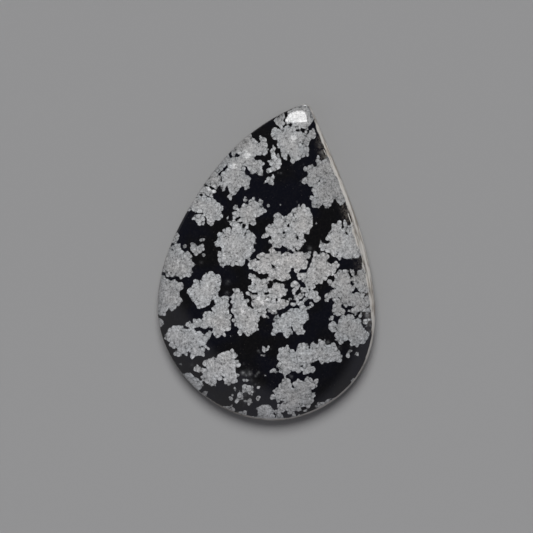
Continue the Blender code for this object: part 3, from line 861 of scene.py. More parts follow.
@dataclass
class StoneBody:
    """The stone's mesh, grown by Geometry Nodes from its outline and a few sizes.

    The front is a square grid laid onto the dome, so its points are evenly close for the flakes. A strip
    of the same points carries on over the dome's steep edge, the girdle, the bevel and the flat back.

    Args:
        thickness: the crown's height over the back.
        girdle_top: the height where the upright side ends and the dome begins.
        back_bevel: the width of the small bevel round the back.
        dome_flatness: the power in the dome's profile.
        grid_side: points along each side of the front's grid, an odd number.
        strip_rows: rows of the strip, from the dome's edge to the middle of the back.
        edge_share: the share of the outline's size where the grid ends and the strip begins.
        edge_round: the share of the outline's size over which the dome rounds into the girdle.
        edge_drop: the height over which it does so.
        inset: how far the finished skin keeps inside the solid's own, as a share of its size.
        weld: how close two points have to lie to be made one.
        steps_per_span: points of the outline for each of its control points.
        sharp_deg: how far two faces have to turn from each other for a crisp edge.
        dome_rows_end: how far down the strip the dome's last stretch ends, from 0 to 1.
        edge_rows_end: how far down it the rounding ends.
        girdle_rows_end: how far down it the upright side ends.
        bevel_rows_end: how far down it the bevel ends and the back begins.
    """

    thickness: float = 6.0 * MM
    girdle_top: float = 2.0 * MM
    back_bevel: float = 0.35 * MM
    dome_flatness: float = 4.0
    grid_side: int = 241
    strip_rows: int = 17
    edge_share: float = 0.97
    edge_round: float = 0.012
    edge_drop: float = 0.2 * MM
    inset: float = 0.0008
    weld: float = 0.002 * MM
    steps_per_span: int = 24
    sharp_deg: float = 35.0
    dome_rows_end: float = 3 / 16
    edge_rows_end: float = 7 / 16
    girdle_rows_end: float = 9 / 16
    bevel_rows_end: float = 10 / 16

    def trace_outline(self) -> np.ndarray:
        """Traces the outline's closed spline.

        Returns:
            Its points, as the control points place them, anticlockwise from the tip.
        """
        curve = bpy.data.curves.new("outline", "CURVE")
        curve.dimensions = "2D"
        curve.fill_mode = "NONE"
        curve.resolution_u = self.steps_per_span
        spline = curve.splines.new("NURBS")
        spline.points.add(len(OUTLINE_MM) - 1)
        for control, (x, y) in zip(spline.points, OUTLINE_MM):
            control.co = (x * MM, y * MM, 0.0, 1.0)
        spline.order_u = 4
        spline.use_cyclic_u = True
        guide = add_object("outline", curve)
        bpy.context.view_layer.update()
        traced = bpy.data.meshes.new_from_object(guide)
        points = np.array([vertex.co[:2] for vertex in traced.vertices])[::-1]
        bpy.data.objects.remove(guide, do_unlink=True)
        bpy.data.meshes.remove(traced)
        return points

    def outline_loop(self) -> bpy.types.Mesh:
        """The outline as a closed loop of edges, in the middle of its box like the solid's.

        Returns:
            A mesh of points and edges.
        """
        points = self.trace_outline()
        points -= (points.min(axis=0) + points.max(axis=0)) / 2
        points *= 1.0 - self.inset
        loop = bpy.data.meshes.new("outline_loop")
        edges = [(i, (i + 1) % len(points)) for i in range(len(points))]
        loop.from_pydata([(x, y, 0.0) for x, y in points], edges, [])
        return loop

    def sizes(self, finish: bpy.types.Material) -> dict[str, object]:
        """The named sizes that the tree of nodes takes in.

        Args:
            finish: the stone's material.

        Returns:
            Each input's name and value.
        """
        widths = [x for x, _ in OUTLINE_MM]
        return {
            "Thickness": self.thickness,
            "Girdle Top": self.girdle_top,
            "Back Bevel": self.back_bevel,
            "Half Width": (max(widths) - min(widths)) / 2 * MM,
            "Dome Flatness": self.dome_flatness,
            "Edge Share": self.edge_share,
            "Edge Round": self.edge_round,
            "Edge Drop": self.edge_drop,
            "Grid Side": self.grid_side,
            "Strip Rows": self.strip_rows,
            "Crown Centre": (CROWN_CENTRE_MM[0] * MM, CROWN_CENTRE_MM[1] * MM, 0.0),
            "Finish": finish,
        }

    def build(self, finish: bpy.types.Material) -> bpy.types.Object:
        """Grows the stone and turns it into a plain mesh.

        Args:
            finish: the stone's material.

        Returns:
            The finished object, at the origin.
        """
        seed = add_object("stone_outline", self.outline_loop())
        sizes = self.sizes(finish)
        modifier = seed.modifiers.new("shape", "NODES")
        modifier.node_group = StoneShape(self, sizes).tree
        for item in modifier.node_group.interface.items_tree:
            if item.in_out == "INPUT" and item.name in sizes:
                modifier[item.identifier] = sizes[item.name]
        bpy.context.view_layer.update()
        grown = seed.evaluated_get(bpy.context.evaluated_depsgraph_get())
        mesh = bpy.data.meshes.new_from_object(grown)
        bpy.data.objects.remove(seed, do_unlink=True)
        mesh.name = "polished_stone"
        self.finish_faces(mesh)
        return add_object("polished_stone", mesh)

    def finish_faces(self, mesh: bpy.types.Mesh) -> None:
        """Turns every face outwards and smooths all but the bevel's edges.

        Args:
            mesh: the stone's mesh.
        """
        shape = bmesh.new()
        shape.from_mesh(mesh)
        bmesh.ops.recalc_face_normals(shape, faces=shape.faces)
        shape.to_mesh(mesh)
        shape.free()
        mesh.shade_smooth()
        mesh.set_sharp_from_angle(angle=math.radians(self.sharp_deg))


class StoneShape(Graph):
    """The tree of nodes that turns the outline's loop into the closed stone."""

    KINDS = {float: "Float", int: "Int", tuple: "Vector", bpy.types.Material: "Material"}
    # A turn round the square passes four sides, which are eight half sides.
    SQUARE_SIDES = 4
    HALF_SIDES = 8.0

    def __init__(self, body: StoneBody, sizes: dict[str, object]) -> None:
        """Makes the whole tree, with the sizes as its named inputs.

        Args:
            body: the stone, for where the strip's rows end.
            sizes: the inputs' names and values.
        """
        super().__init__(bpy.data.node_groups.new("polished_stone_shape", "GeometryNodeTree"))
        self.body = body
        add_socket = self.tree.interface.new_socket
        add_socket("Geometry", in_out="INPUT", socket_type="NodeSocketGeometry")
        for name, value in sizes.items():
            add_socket(name, in_out="INPUT", socket_type="NodeSocket" + self.KINDS[type(value)])
        add_socket("Geometry", in_out="OUTPUT", socket_type="NodeSocketGeometry")
        self.entry = self.node("NodeGroupInput")
        self.rim = self.wire("GeometryNodeMeshToCurve", {"Mesh": self.size("Geometry")}, "Curve")
        self.close_up()

    def size(self, name: str) -> Socket:
        """One of the tree's inputs."""
        return self.entry.outputs[name]

    def lay_on_disc(self, u: Socket, v: Socket) -> tuple[Socket, Socket]:
        """Lays a square onto a disc: each ring of the square becomes a ring round the crown.

        Args:
            u: the point's place across the square, -1 to 1.
            v: its place up the square, -1 to 1.

        Returns:
            The point's share of the way out, and its turn round the ring, 0 to 1.
        """
        wide, high = self.math("ABSOLUTE", u), self.math("ABSOLUTE", v)
        left, low = self.math("LESS_THAN", u, 0.0), self.math("LESS_THAN", v, 0.0)
        rise = self.math("DIVIDE", self.math("DIVIDE", v, u), self.HALF_SIDES)
        run = self.math("DIVIDE", self.math("DIVIDE", u, v), self.HALF_SIDES)
        on_sides = self.plus(rise, self.times(left, 0.5))
        on_ends = self.plus(self.less(0.25, run), self.times(low, 0.5))
        is_side = self.less(1.0, self.math("LESS_THAN", wide, high))
        turn = self.plus(self.times(is_side, on_sides), self.times(self.less(1.0, is_side), on_ends))
        return self.math("MAXIMUM", wide, high), self.math("FRACT", turn)

    def dome_height(self, share: Socket) -> Socket:
        """The dome's height over the back at a share of the way out, 0 at the crown and 1 at the girdle.

        Args:
            share: the share.

        Returns:
            The height.
        """
        thickness = self.size("Thickness")
        rise = self.less(thickness, self.size("Girdle Top"))
        return self.less(thickness, self.times(rise, self.math("POWER", share, self.size("Dome Flatness"))))

    def place(self, mesh: Socket, turn: Socket, share: Socket, height: Socket) -> Socket:
        """Moves a grid's points onto the stone.

        Args:
            mesh: the grid.
            turn: each point's place along the outline, 0 to 1.
            share: how far out each point is.
            height: how high each point is.

        Returns:
            The moved mesh.
        """
        on_rim = self.wire("GeometryNodeSampleCurve", {"Curves": self.rim, "Factor": turn}, "Position",
                           mode="FACTOR", data_type="FLOAT")
        crown = self.size("Crown Centre")
        spot = self.vector("ADD", crown, self.stretch(self.vector("SUBTRACT", on_rim, crown), share))
        x, y, _ = self.split(spot)
        inputs = {"Geometry": mesh, "Position": self.join(x, y, height)}
        return self.wire("GeometryNodeSetPosition", inputs, "Geometry")

    def front(self) -> Socket:
        """The mesh of the dome, up to where it turns steep.

        Returns:
            The mesh.
        """
        side = self.size("Grid Side")
        grid = self.wire("GeometryNodeMeshGrid", {"Vertices X": side, "Vertices Y": side}, "Mesh")
        x, y, _ = self.split(grid.node.outputs["UV Map"])
        u, v = (self.map_range(part, (0.0, 1.0), (-1.0, 1.0)) for part in (x, y))
        ring, turn = self.lay_on_disc(u, v)
        share = self.times(ring, self.size("Edge Share"))
        return self.place(grid, turn, share, self.dome_height(share))

    def strip(self) -> Socket:
        """The mesh of the dome's steep edge, the girdle, the bevel and the back, down to its middle.

        Returns:
            The mesh.
        """
        body, size = self.body, self.size
        columns = self.less(self.times(size("Grid Side"), self.SQUARE_SIDES), self.SQUARE_SIDES - 1)
        counts = {"Vertices X": columns, "Vertices Y": size("Strip Rows")}
        grid = self.wire("GeometryNodeMeshGrid", counts, "Mesh")
        turn, down, _ = self.split(grid.node.outputs["UV Map"])
        on_dome = (0.0, body.dome_rows_end)
        on_edge = (body.dome_rows_end, body.edge_rows_end)
        on_side = (body.edge_rows_end, body.girdle_rows_end)
        on_bevel = (body.girdle_rows_end, body.bevel_rows_end)
        near_edge = self.less(1.0, size("Edge Round"))
        dome_end = self.map_range(down, on_dome, (size("Edge Share"), near_edge))
        left = self.map_range(down, on_edge, (1.0, 0.0))
        done = self.less(1.0, left)
        out = self.plus(dome_end, self.times(size("Edge Round"), self.less(1.0, self.times(left, left))))
        dip = self.times(size("Edge Drop"), self.times(done, done))
        side = self.less(self.less(size("Girdle Top"), size("Edge Drop")), size("Back Bevel"))
        drop = self.map_range(down, on_side, (0.0, side))
        bevel = self.map_range(down, on_bevel, (0.0, size("Back Bevel")))
        height = self.less(self.dome_height(out), self.plus(dip, self.plus(drop, bevel)))
        cut = self.math("DIVIDE", size("Back Bevel"), size("Half Width"))
        drawn_in = self.map_range(down, on_bevel, (0.0, cut))
        across = self.map_range(down, (body.bevel_rows_end, 1.0), (0.0, self.less(1.0, cut)))
        share = self.less(out, self.plus(drawn_in, across))
        return self.place(grid, self.math("FRACT", turn), share, height)

    def close_up(self) -> None:
        """Joins the front and the strip, welds them and gives them their finish."""
        both = self.node("GeometryNodeJoinGeometry")
        for mesh in (self.front(), self.strip()):
            self.feed(both.inputs[0], mesh)
        welding = {"Geometry": both.outputs[0], "Distance": self.body.weld}
        closed = self.wire("GeometryNodeMergeByDistance", welding, "Geometry")
        real = self.wire("GeometryNodeRealizeInstances", {"Geometry": closed}, "Geometry")
        dressing = {"Geometry": real, "Material": self.size("Finish")}
        dressed = self.wire("GeometryNodeSetMaterial", dressing, "Geometry")
        self.feed(self.node("NodeGroupOutput").inputs[0], dressed)


def to_mm(points_px: Points) -> np.ndarray:
    """Turns pixels of the photo, y down, into millimetres from the middle of the stone, y up."""
    return (np.array(points_px, dtype=float) - STONE_MIDDLE_PX) * (1.0, -1.0) / PIXELS_PER_MM


def rounded(corners: np.ndarray, steps: int = 3) -> np.ndarray:
    """A closed outline with its corners eased, through all its points.

    Args:
        corners: the outline's points.
        steps: points for each side.

    Returns:
        The eased outline.
    """
    before, after, later = np.roll(corners, 1, 0), np.roll(corners, -1, 0), np.roll(corners, -2, 0)
    pieces = []
    for t in np.arange(steps) / steps:
        pieces.append(0.5 * (
            2.0 * corners + (after - before) * t
            + (2.0 * before - 5.0 * corners + 4.0 * after - later) * t**2
            + (3.0 * corners - before - 3.0 * after + later) * t**3
        ))
    return np.stack(pieces, axis=1).reshape(-1, 2)


def distance_to_lines(points: np.ndarray, starts: np.ndarray, ends: np.ndarray) -> np.ndarray:
    """The distance from each point to the nearest of some straight lines.

    Args:
        points: the points.
        starts: where each line starts.
        ends: where each line ends.

    Returns:
        A distance for each point.
    """
    along = ends - starts
    off = points[:, None, :] - starts[None, :, :]
    share = np.clip((off * along).sum(-1) / np.maximum((along * along).sum(-1), TINY), 0.0, 1.0)
    gap = off - along * share[..., None]
    return np.sqrt((gap * gap).sum(-1).min(axis=1))


def signed_distance(points: np.ndarray, outline: np.ndarray) -> np.ndarray:
    """The distance to a closed outline, below zero inside it.

    Args:
        points: the points.
        outline: the outline's points, in order.

    Returns:
        A distance for each point.
    """
    following = np.roll(outline, -1, axis=0)
    distance = distance_to_lines(points, outline, following)
    x, y = points[:, :1], points[:, 1:]
    (ax, ay), (bx, by) = outline.T, following.T
    level_x = (bx - ax) * (y - ay) / np.where(by == ay, TINY, by - ay) + ax
    crosses = ((ay > y) != (by > y)) & (x < level_x)
    return np.where(crosses.sum(axis=1) % 2 == 1, -distance, distance)


class FlakeField:
    """The front's markings, worked out at every point of the stone's mesh."""

    FAR_MM = 1.5

    def __init__(self, places_mm: np.ndarray, rim: GroundRimAndSheen, outline_mm: np.ndarray) -> None:
        """Starts with bare glass.

        Args:
            places_mm: the mesh's points seen from above.
            rim: the ground rim.
            outline_mm: the stone's outline.
        """
        self.places = places_mm
        self.rim = rim
        self.outline = outline_mm
        self.edge = np.full(len(places_mm), self.FAR_MM)
        self.tone = np.ones(len(places_mm))
        self.cool = np.zeros(len(places_mm))

    def near(self, shape: np.ndarray) -> np.ndarray:
        """The indices of the points that are close enough to a shape's points to be touched by it."""
        low, high = shape.min(axis=0) - self.FAR_MM, shape.max(axis=0) + self.FAR_MM
        return np.nonzero(((self.places > low) & (self.places < high)).all(axis=1))[0]

    def within(self, outline_px: Points) -> Reached:
        """The points near a closed outline.

        Args:
            outline_px: the outline, in the photo's pixels.

        Returns:
            The points' indices and distances to it, below zero inside.
        """
        outline = rounded(to_mm(outline_px))
        index = self.near(outline)
        return index, signed_distance(self.places[index], outline)

    def beside(self, slit: Slit) -> Reached:
        """The points near a crack.

        Args:
            slit: the crack.

        Returns:
            The points' indices and distances to its sides.
        """
        route = to_mm(slit.route_px)
        index = self.near(route)
        distance = distance_to_lines(self.places[index], route[:-1], route[1:])
        return index, distance - slit.width_px / 2 / PIXELS_PER_MM

    def around(self, dot: Dot) -> Reached:
        """The points near a speck.

        Args:
            dot: the speck.

        Returns:
            The points' indices and distances to its edge.
        """
        middle = to_mm(((dot.x, dot.y),))
        index = self.near(middle)
        distance = np.linalg.norm(self.places[index] - middle, axis=1)
        return index, distance - dot.radius / PIXELS_PER_MM

    def add(self, index: np.ndarray, distance: np.ndarray, tone: float, cool: float) -> None:
        """Adds a flake where it is nearer than those before it.

        Args:
            index: the points it may touch.
            distance: their distance to it.
            tone: its brightness.
            cool: its hue.
        """
        closer = distance < self.edge[index]
        chosen = index[closer]
        self.edge[chosen] = distance[closer]
        self.tone[chosen] = tone
        self.cool[chosen] = cool

    def cut(self, index: np.ndarray, distance: np.ndarray) -> None:
        """Cuts black glass out of the flakes, at the points it may touch and their distance to the cut."""
        self.edge[index] = np.maximum(self.edge[index], -distance)

    def draw(self) -> None:
        """Draws every flake, then the gaps, cracks and pits in them, then the beads."""
        for flake in FLAKES:
            self.add(*self.within(flake.outline_px), flake.tone, flake.cool)
        for gap in GAPS:
            self.cut(*self.within(gap.outline_px))
        for slit in SLITS:
            self.cut(*self.beside(slit))
        for pit in PITS:
            self.cut(*self.around(pit))
        for bead in BEADS:
            self.add(*self.around(bead), bead.tone, 0.0)

    def glow(self, dots: tuple[Dot, ...]) -> np.ndarray:
        """Soft round spots that fade out from their middles.

        Args:
            dots: the spots.

        Returns:
            Their strength at every point.
        """
        strength = np.zeros(len(self.places))
        for dot in dots:
            away = np.linalg.norm(self.places - to_mm(((dot.x, dot.y),)), axis=1)
            fade = np.exp(-((away / (dot.radius / PIXELS_PER_MM)) ** 2))
            strength = np.maximum(strength, dot.tone * fade)
        return strength

    def attributes(self) -> dict[str, np.ndarray]:
        """The markings as the numbers that the finish reads.

        Returns:
            Each attribute's name and its value at every point.
        """
        bearing = np.degrees(np.arctan2(*(self.places - CROWN_CENTRE_MM).T[::-1]))
        return {
            "flake_edge": self.edge,
            "flake_tone": self.tone,
            "flake_cool": np.clip(self.cool + self.glow(COOL_SPOTS), -1.0, 1.0),
            # The bright spots: the flakes' own bright cores, and a painted highlight on the left shoulder.
            "flake_bright_and_highlight": self.glow(BRIGHT_CORES_AND_HIGHLIGHT),
            "flake_ghost": self.glow(GHOSTS),
            "tip_facet": signed_distance(self.places, rounded(to_mm(TIP_FACET_PX))),
            "rim_depth": np.clip(-signed_distance(self.places, self.outline), 0.0, None),
            "rim_reach": self.rim.along(bearing, "reach_mm"),
            # The rim's brightness by bearing, largely painted light.
            "rim_light_and_tone": self.rim.along(bearing, "tone"),
        }


@dataclass(frozen=True)
class Noise:
    """A noise texture.

    Args:
        scale: its bumps to the millimetre.
        detail: its octaves.
        roughness: the weight of its finer octaves.
        distortion: how much it is swirled.
    """

    scale: float
    detail: float = 2.0
    roughness: float = 0.5
    distortion: float = 0.0


@dataclass(frozen=True)
class ObsidianFinish:
    """Black volcanic glass with pale crystal flakes cut through by the polish.

    Args:
        glass: the glass's colour where it is neutral.
        glass_blue: its colour where it is bluish.
        smoke: the colour of thin brown dust in the glass near the rim.
        flake_warm: a flake's colour where it is beige.
        flake_cool: a flake's colour where it is bluish.
        ground: the ground rim's colour.
        ground_dirt: the colour of its darker streaks.
        polish: the glass's roughness.
        flake_polish: the roughness of a flake and of the flat on the tip.
        rim_polish: the ground rim's roughness.
        refraction: the glass's index of refraction.
        bump_strength: how strongly the surface's fine unevenness shows.
        bump_depth: its depth.
        edge_softness_mm: the width of a flake's edge.
        facet_facing: the way the small flat on the tip faces.
        lobes_per_mm: how close the flakes' round lobes lie.
        lobe_size_mm, back_lobe_size_mm: how far they move a flake's edge on the front and on the back.
        crumb_size_mm: how far the crumbs move it.
        flake_light: a flake's brightness before its grain.
        grain_gain: how strongly its fine grain shows.
        ridge_gain: how strongly its fibres show.
        cloud_gain: how strongly its broad patches show.
        cleft_gain: how dark the clefts between its lobes are.
        lobe_gain: how much brighter its lobes' middles are.
        back_per_mm: how close the back's flakes lie.
        back_size_mm: their radius.
        back_spread_mm: how unlike each other they are in size.
        back_arms_mm: how far their arms reach.
        specks_per_mm: how close the faint specks in the glass lie.
        streak_pull: how fine the ground rim's streaks are across it, and along x and y.
        fray_gain, streak_gain: how far the fraying and the streaks move the rim's inner edge.
        line_depth_mm: how far inside the outline the rim's bright line runs, a painted highlight for the
            shoulder's reflection.
        rim_brightest: the ground rim's greatest brightness.
        grain, fibre, cloud, pits: textures inside a flake.
        crumbs, drift: textures of its edge and of its hue.
        tint, speck_areas, powder, dust: textures in the glass.
        streaks, fray, broken: textures of the ground rim.
        rub: the texture of the polish.
        back_wander, back_arms: textures of the back's flakes.
    """

    glass: Colour = (0.0022, 0.0022, 0.0028, 1.0)
    glass_blue: Colour = (0.0018, 0.0024, 0.0066, 1.0)
    smoke: Colour = (0.19, 0.168, 0.145, 1.0)
    flake_warm: Colour = (0.565, 0.55, 0.535, 1.0)
    flake_cool: Colour = (0.515, 0.535, 0.55, 1.0)
    ground: Colour = (0.69, 0.665, 0.625, 1.0)
    ground_dirt: Colour = (0.52, 0.47, 0.41, 1.0)
    polish: float = 0.04
    flake_polish: float = 0.08
    rim_polish: float = 0.55
    refraction: float = 1.49
    bump_strength: float = 0.06
    bump_depth: float = 0.02 * MM
    edge_softness_mm: float = 0.05
    facet_facing: tuple[float, float, float] = (0.0857, 0.6097, 0.788)
    lobes_per_mm: float = 1.4
    lobe_size_mm: float = 0.36
    back_lobe_size_mm: float = 0.85
    crumb_size_mm: float = 0.24
    flake_light: float = 1.07
    grain_gain: float = 1.9
    ridge_gain: float = -1.7
    cloud_gain: float = 0.8
    cleft_gain: float = -0.42
    lobe_gain: float = 0.5
    back_per_mm: float = 0.17
    back_size_mm: float = 2.1
    back_spread_mm: float = 3.0
    back_arms_mm: float = 4.4
    specks_per_mm: float = 1.1
    streak_pull: tuple[float, float, float] = (3.6, 0.22, 0.34)
    fray_gain: float = 0.9
    streak_gain: float = 1.5
    line_depth_mm: float = 0.34
    rim_brightest: float = 1.18
    grain: Noise = Noise(2.9, 2.0, 0.75)
    fibre: Noise = Noise(0.95, 2.0, 0.55, 2.6)
    cloud: Noise = Noise(0.9, 2.0, 0.55)
    pits: Noise = Noise(3.3, 1.5, 0.6)
    crumbs: Noise = Noise(2.6, 2.0, 0.6)
    drift: Noise = Noise(0.3, 1.0)
    tint: Noise = Noise(0.16)
    speck_areas: Noise = Noise(0.7, 1.0)
    powder: Noise = Noise(4.2, 2.0, 0.8)
    dust: Noise = Noise(1.9, 4.0, 0.8)
    streaks: Noise = Noise(1.0, 2.0, 0.6)
    fray: Noise = Noise(0.9, 3.0)
    broken: Noise = Noise(0.8)
    rub: Noise = Noise(2.4, 3.0)
    back_wander: Noise = Noise(0.35, 1.0)
    back_arms: Noise = Noise(0.62, 2.0, 0.6)

    def build(self) -> bpy.types.Material:
        """Makes the stone's material.

        Returns:
            The material.
        """
        material = bpy.data.materials.new("snowflake_obsidian")
        material.use_nodes = True
        paint = StonePaint(material.node_tree, self)
        edge = paint.edge()
        crisp = paint.map_range(edge, (self.edge_softness_mm, -self.edge_softness_mm), smooth=True)
        flake = paint.math("MAXIMUM", crisp, paint.math("POWER", paint.attribute("flake_ghost"), 2.0))
        colour = paint.blend(flake, paint.glass_colour(), paint.flake_colour(edge))
        rim, rim_colour = paint.ground_rim()
        facet, normals = paint.tip_facet()
        # The surface's roughness for the glass, the flakes and the ground rim.
        rim_shade_and_roughness = paint.between(rim, paint.between(crisp, self.polish, self.flake_polish), self.rim_polish)
        uneven = paint.plus(paint.times(paint.noise(self.rub), 0.4), paint.times(crisp, 0.5))
        bumps = {
            "Strength": self.bump_strength,
            "Distance": self.bump_depth,
            "Height": uneven,
            "Normal": normals,
        }
        skin = {
            "Base Color": paint.blend(rim, colour, rim_colour),
            "Roughness": paint.between(facet, rim_shade_and_roughness, self.flake_polish),
            "IOR": self.refraction,
            "Normal": paint.wire("ShaderNodeBump", bumps, "Normal"),
        }
        shader = paint.wire("ShaderNodeBsdfPrincipled", skin, "BSDF")
        paint.feed(paint.node("ShaderNodeOutputMaterial").inputs["Surface"], shader)
        return material


class StonePaint(Graph):
    """The stone's material in the making. Its places and depths are in millimetres."""

    def __init__(self, tree: bpy.types.NodeTree, finish: ObsidianFinish) -> None:
        """Empties the tree and finds each point's place.

        Args:
            tree: the material's tree.
            finish: its colours and textures.
        """
        super().__init__(tree)
        self.finish = finish
        self.girdle = StoneBody.girdle_top / MM
        self.place = self.stretch(self.node("ShaderNodeTexCoord").outputs["Object"], 1.0 / MM)
        self.x, self.y, self.height = self.split(self.place)

    def noise(self, texture: Noise, place: Union[Socket, None] = None) -> Socket:
        """The value of a noise texture, mostly 0.3 to 0.7, read at the point's place or at another.

        Args:
            texture: the texture.
            place: the other place.

        Returns:
            The value.
        """
        inputs = {name.capitalize(): value for name, value in asdict(texture).items()}
        inputs["Vector"] = self.place if place is None else place
        return self.wire("ShaderNodeTexNoise", inputs, "Fac")

    def cells(self, scale: float, feature: str = "F1", randomness: float = 0.9) -> Socket:
        """The distance that a cell (Voronoi) texture gives, for a number of cells to the millimetre."""
        inputs = {"Vector": self.place, "Scale": scale, "Randomness": randomness}
        return self.wire("ShaderNodeTexVoronoi", inputs, "Distance", feature=feature, voronoi_dimensions="2D")

    def attribute(self, name: str) -> Socket:
        """A number that the mesh carries at each point."""
        return self.node("ShaderNodeAttribute", attribute_name=name).outputs["Fac"]

    def blend(self, factor: Feed, first: Feed, second: Feed) -> Socket:
        """A mix of two colours: the first at factor 0, the second at 1."""
        return self.wire("ShaderNodeMix", {0: factor, 6: first, 7: second}, 2, data_type="RGBA")

    def between(self, factor: Feed, first: Feed, second: Feed) -> Socket:
        """A mix of two numbers: the first at factor 0, the second at 1."""
        return self.wire("ShaderNodeMix", {0: factor, 2: first, 3: second}, 0, data_type="FLOAT")

    def back_flakes(self) -> Socket:
        """A guessed pattern of flakes for the back: round clusters with lobed edges.

        Returns:
            The distance to the nearest flake's edge, below zero inside.
        """
        finish = self.finish
        spread = self.off(self.noise(finish.back_wander), 0.5, finish.back_spread_mm)
        size = self.plus(finish.back_size_mm, spread)
        ragged = self.off(self.noise(finish.back_arms), 0.5, finish.back_arms_mm)
        away = self.math("DIVIDE", self.cells(finish.back_per_mm), finish.back_per_mm)
        return self.plus(self.less(away, size), ragged)

    def edge(self) -> Socket:
        """The distance to the nearest flake's edge, with small lobes along it.

        Returns:
            The distance, below zero inside.
        """
        finish = self.finish
        on_back = self.map_range(self.height, (0.75, 0.15), smooth=True)
        plain = self.between(on_back, self.attribute("flake_edge"), self.back_flakes())
        lobe_size = self.between(on_back, finish.lobe_size_mm, finish.back_lobe_size_mm)
        swell = self.off(self.cells(finish.lobes_per_mm), 0.34, lobe_size)
        return self.plus(plain, swell, self.off(self.noise(finish.crumbs), 0.5, finish.crumb_size_mm))

    def flake_colour(self, edge: Socket) -> Socket:
        """A flake's colour, with its grain, lobes, clefts and bright cores, a painted highlight on the left
        shoulder and painted shade towards the rim.

        Args:
            edge: the distance to the flake's edge.

        Returns:
            The colour.
        """
        finish = self.finish
        outer = self.map_range(edge, (-1.0, -0.1), (-0.35, 0.35))
        drift = self.off(self.noise(finish.drift), 0.5, 2.0)
        cast = self.map_range(self.plus(self.attribute("flake_cool"), outer, drift), (-1.2, 1.2))
        hue = self.blend(cast, finish.flake_warm, finish.flake_cool)
        grain = self.noise(finish.grain)
        ridge = self.math("ABSOLUTE", self.less(self.noise(finish.fibre), 0.5))
        near_edge = self.map_range(edge, (-0.7, -0.1), (0.12, 1.0), smooth=True)
        border = self.cells(finish.lobes_per_mm, feature="DISTANCE_TO_EDGE")
        cleft = self.map_range(border, (0.0, 0.12), (1.0, 0.0), smooth=True)
        inner = self.less(0.45, self.cells(finish.lobes_per_mm))
        # The flakes' bright cores, with a painted highlight on the left shoulder among them.
        bright = self.attribute("flake_bright_and_highlight")
        core = self.plus(bright, self.off(grain, 0.5, 1.2))
        light = self.plus(
            finish.flake_light,
            self.off(grain, 0.5, finish.grain_gain),
            self.times(ridge, finish.ridge_gain),
            self.off(self.noise(finish.cloud), 0.5, finish.cloud_gain),
            self.times(cleft, near_edge, finish.cleft_gain),
            self.times(inner, near_edge, finish.lobe_gain),
            self.map_range(grain, (0.62, 0.75), (0.0, 0.25)),
            self.times(bright, 0.2),
            self.map_range(core, (0.40, 0.56), (0.0, 0.5), smooth=True),
            self.map_range(self.noise(finish.pits), (0.42, 0.28), (0.0, -0.5)),
        )
        # Painted shade: every flake darkens towards the stone's rim, where the dome slopes away from the
        # light.
        rim_shade_and_roughness = self.map_range(self.attribute("rim_depth"), (0.0, 1.2), (0.72, 1.0), smooth=True)
        return self.stretch(hue, self.times(light, rim_shade_and_roughness, self.attribute("flake_tone")))

    def glass_colour(self) -> Socket:
        """The black glass, bluish in places, with a few faint specks and brown dust near the right rim.

        Returns:
            The colour.
        """
        finish = self.finish
        tint = self.map_range(self.noise(finish.tint), (0.42, 0.6), smooth=True)
        black = self.blend(tint, finish.glass, finish.glass_blue)
        speck = self.map_range(self.cells(finish.specks_per_mm, randomness=1.0), (0.10, 0.03))
        here_and_there = self.map_range(self.noise(finish.speck_areas), (0.5, 0.62), (0.0, 0.14))
        powder = self.map_range(self.noise(finish.powder), (0.48, 0.76), (0.0, 0.05))
        dotted = self.blend(self.plus(self.times(speck, here_and_there), powder), black, finish.smoke)
        reach = self.attribute("rim_reach")
        haze = self.times(
            self.map_range(self.noise(finish.dust), (0.43, 0.68)),
            self.map_range(self.less(self.attribute("rim_depth"), reach), (1.7, 0.1), smooth=True),
            self.map_range(reach, (0.38, 0.56)),
            self.map_range(reach, (0.72, 0.95), (1.0, 0.5)),
        )
        return self.blend(haze, dotted, finish.smoke)

    def ground_rim(self) -> tuple[Socket, Socket]:
        """The fine-ground rim with painted light on it: where it is, and its streaked colour.

        Returns:
            Its mask and its colour.
        """
        finish, girdle = self.finish, self.girdle
        depth, reach = self.attribute("rim_depth"), self.attribute("rim_reach")
        down_side = self.math("MAXIMUM", self.less(girdle, self.height), 0.0)
        parts = (self.plus(depth, down_side), self.x, self.y)
        pulled = self.join(*(self.times(part, pull) for part, pull in zip(parts, finish.streak_pull)))
        streaks = self.noise(finish.streaks, pulled)
        fray = self.off(self.noise(finish.fray), 0.5, finish.fray_gain)
        loose = self.times(self.plus(fray, self.off(streaks, 0.5, finish.streak_gain)), reach)
        over = self.less(self.plus(reach, loose), depth)
        on_dome = self.map_range(over, (-0.04, 0.10), smooth=True)
        on_side = self.map_range(self.height, (girdle + 0.02, girdle - 0.12), smooth=True)
        above_back = self.map_range(self.height, (0.02, 0.12))
        on_top = self.map_range(self.height, (girdle - 0.05, girdle + 0.05))
        mask = self.times(self.math("MAXIMUM", on_dome, on_side), above_back)
        broken = self.map_range(self.noise(finish.broken), (0.42, 0.60), (0.0, 0.45))
        # Painted highlight: a bright line just inside the outline, standing for the shoulder's reflection.
        off_line = self.math("ABSOLUTE", self.less(depth, finish.line_depth_mm))
        # Painted light: the outermost sliver is lifted against the shade that its steep rounding gets.
        outermost = self.map_range(depth, (0.20, 0.05), (0.0, 0.22), smooth=True)
        light = self.plus(
            self.map_range(streaks, (0.38, 0.58), (0.55, 1.0)),
            self.times(self.map_range(over, (0.45, 0.12), smooth=True), broken),
            self.map_range(off_line, (0.20, 0.04), (0.0, 0.30), smooth=True),
            self.times(outermost, on_top),
        )
        clean = self.map_range(streaks, (0.38, 0.54), smooth=True)
        hue = self.blend(clean, finish.ground_dirt, finish.ground)
        capped = self.math("MINIMUM", light, finish.rim_brightest)
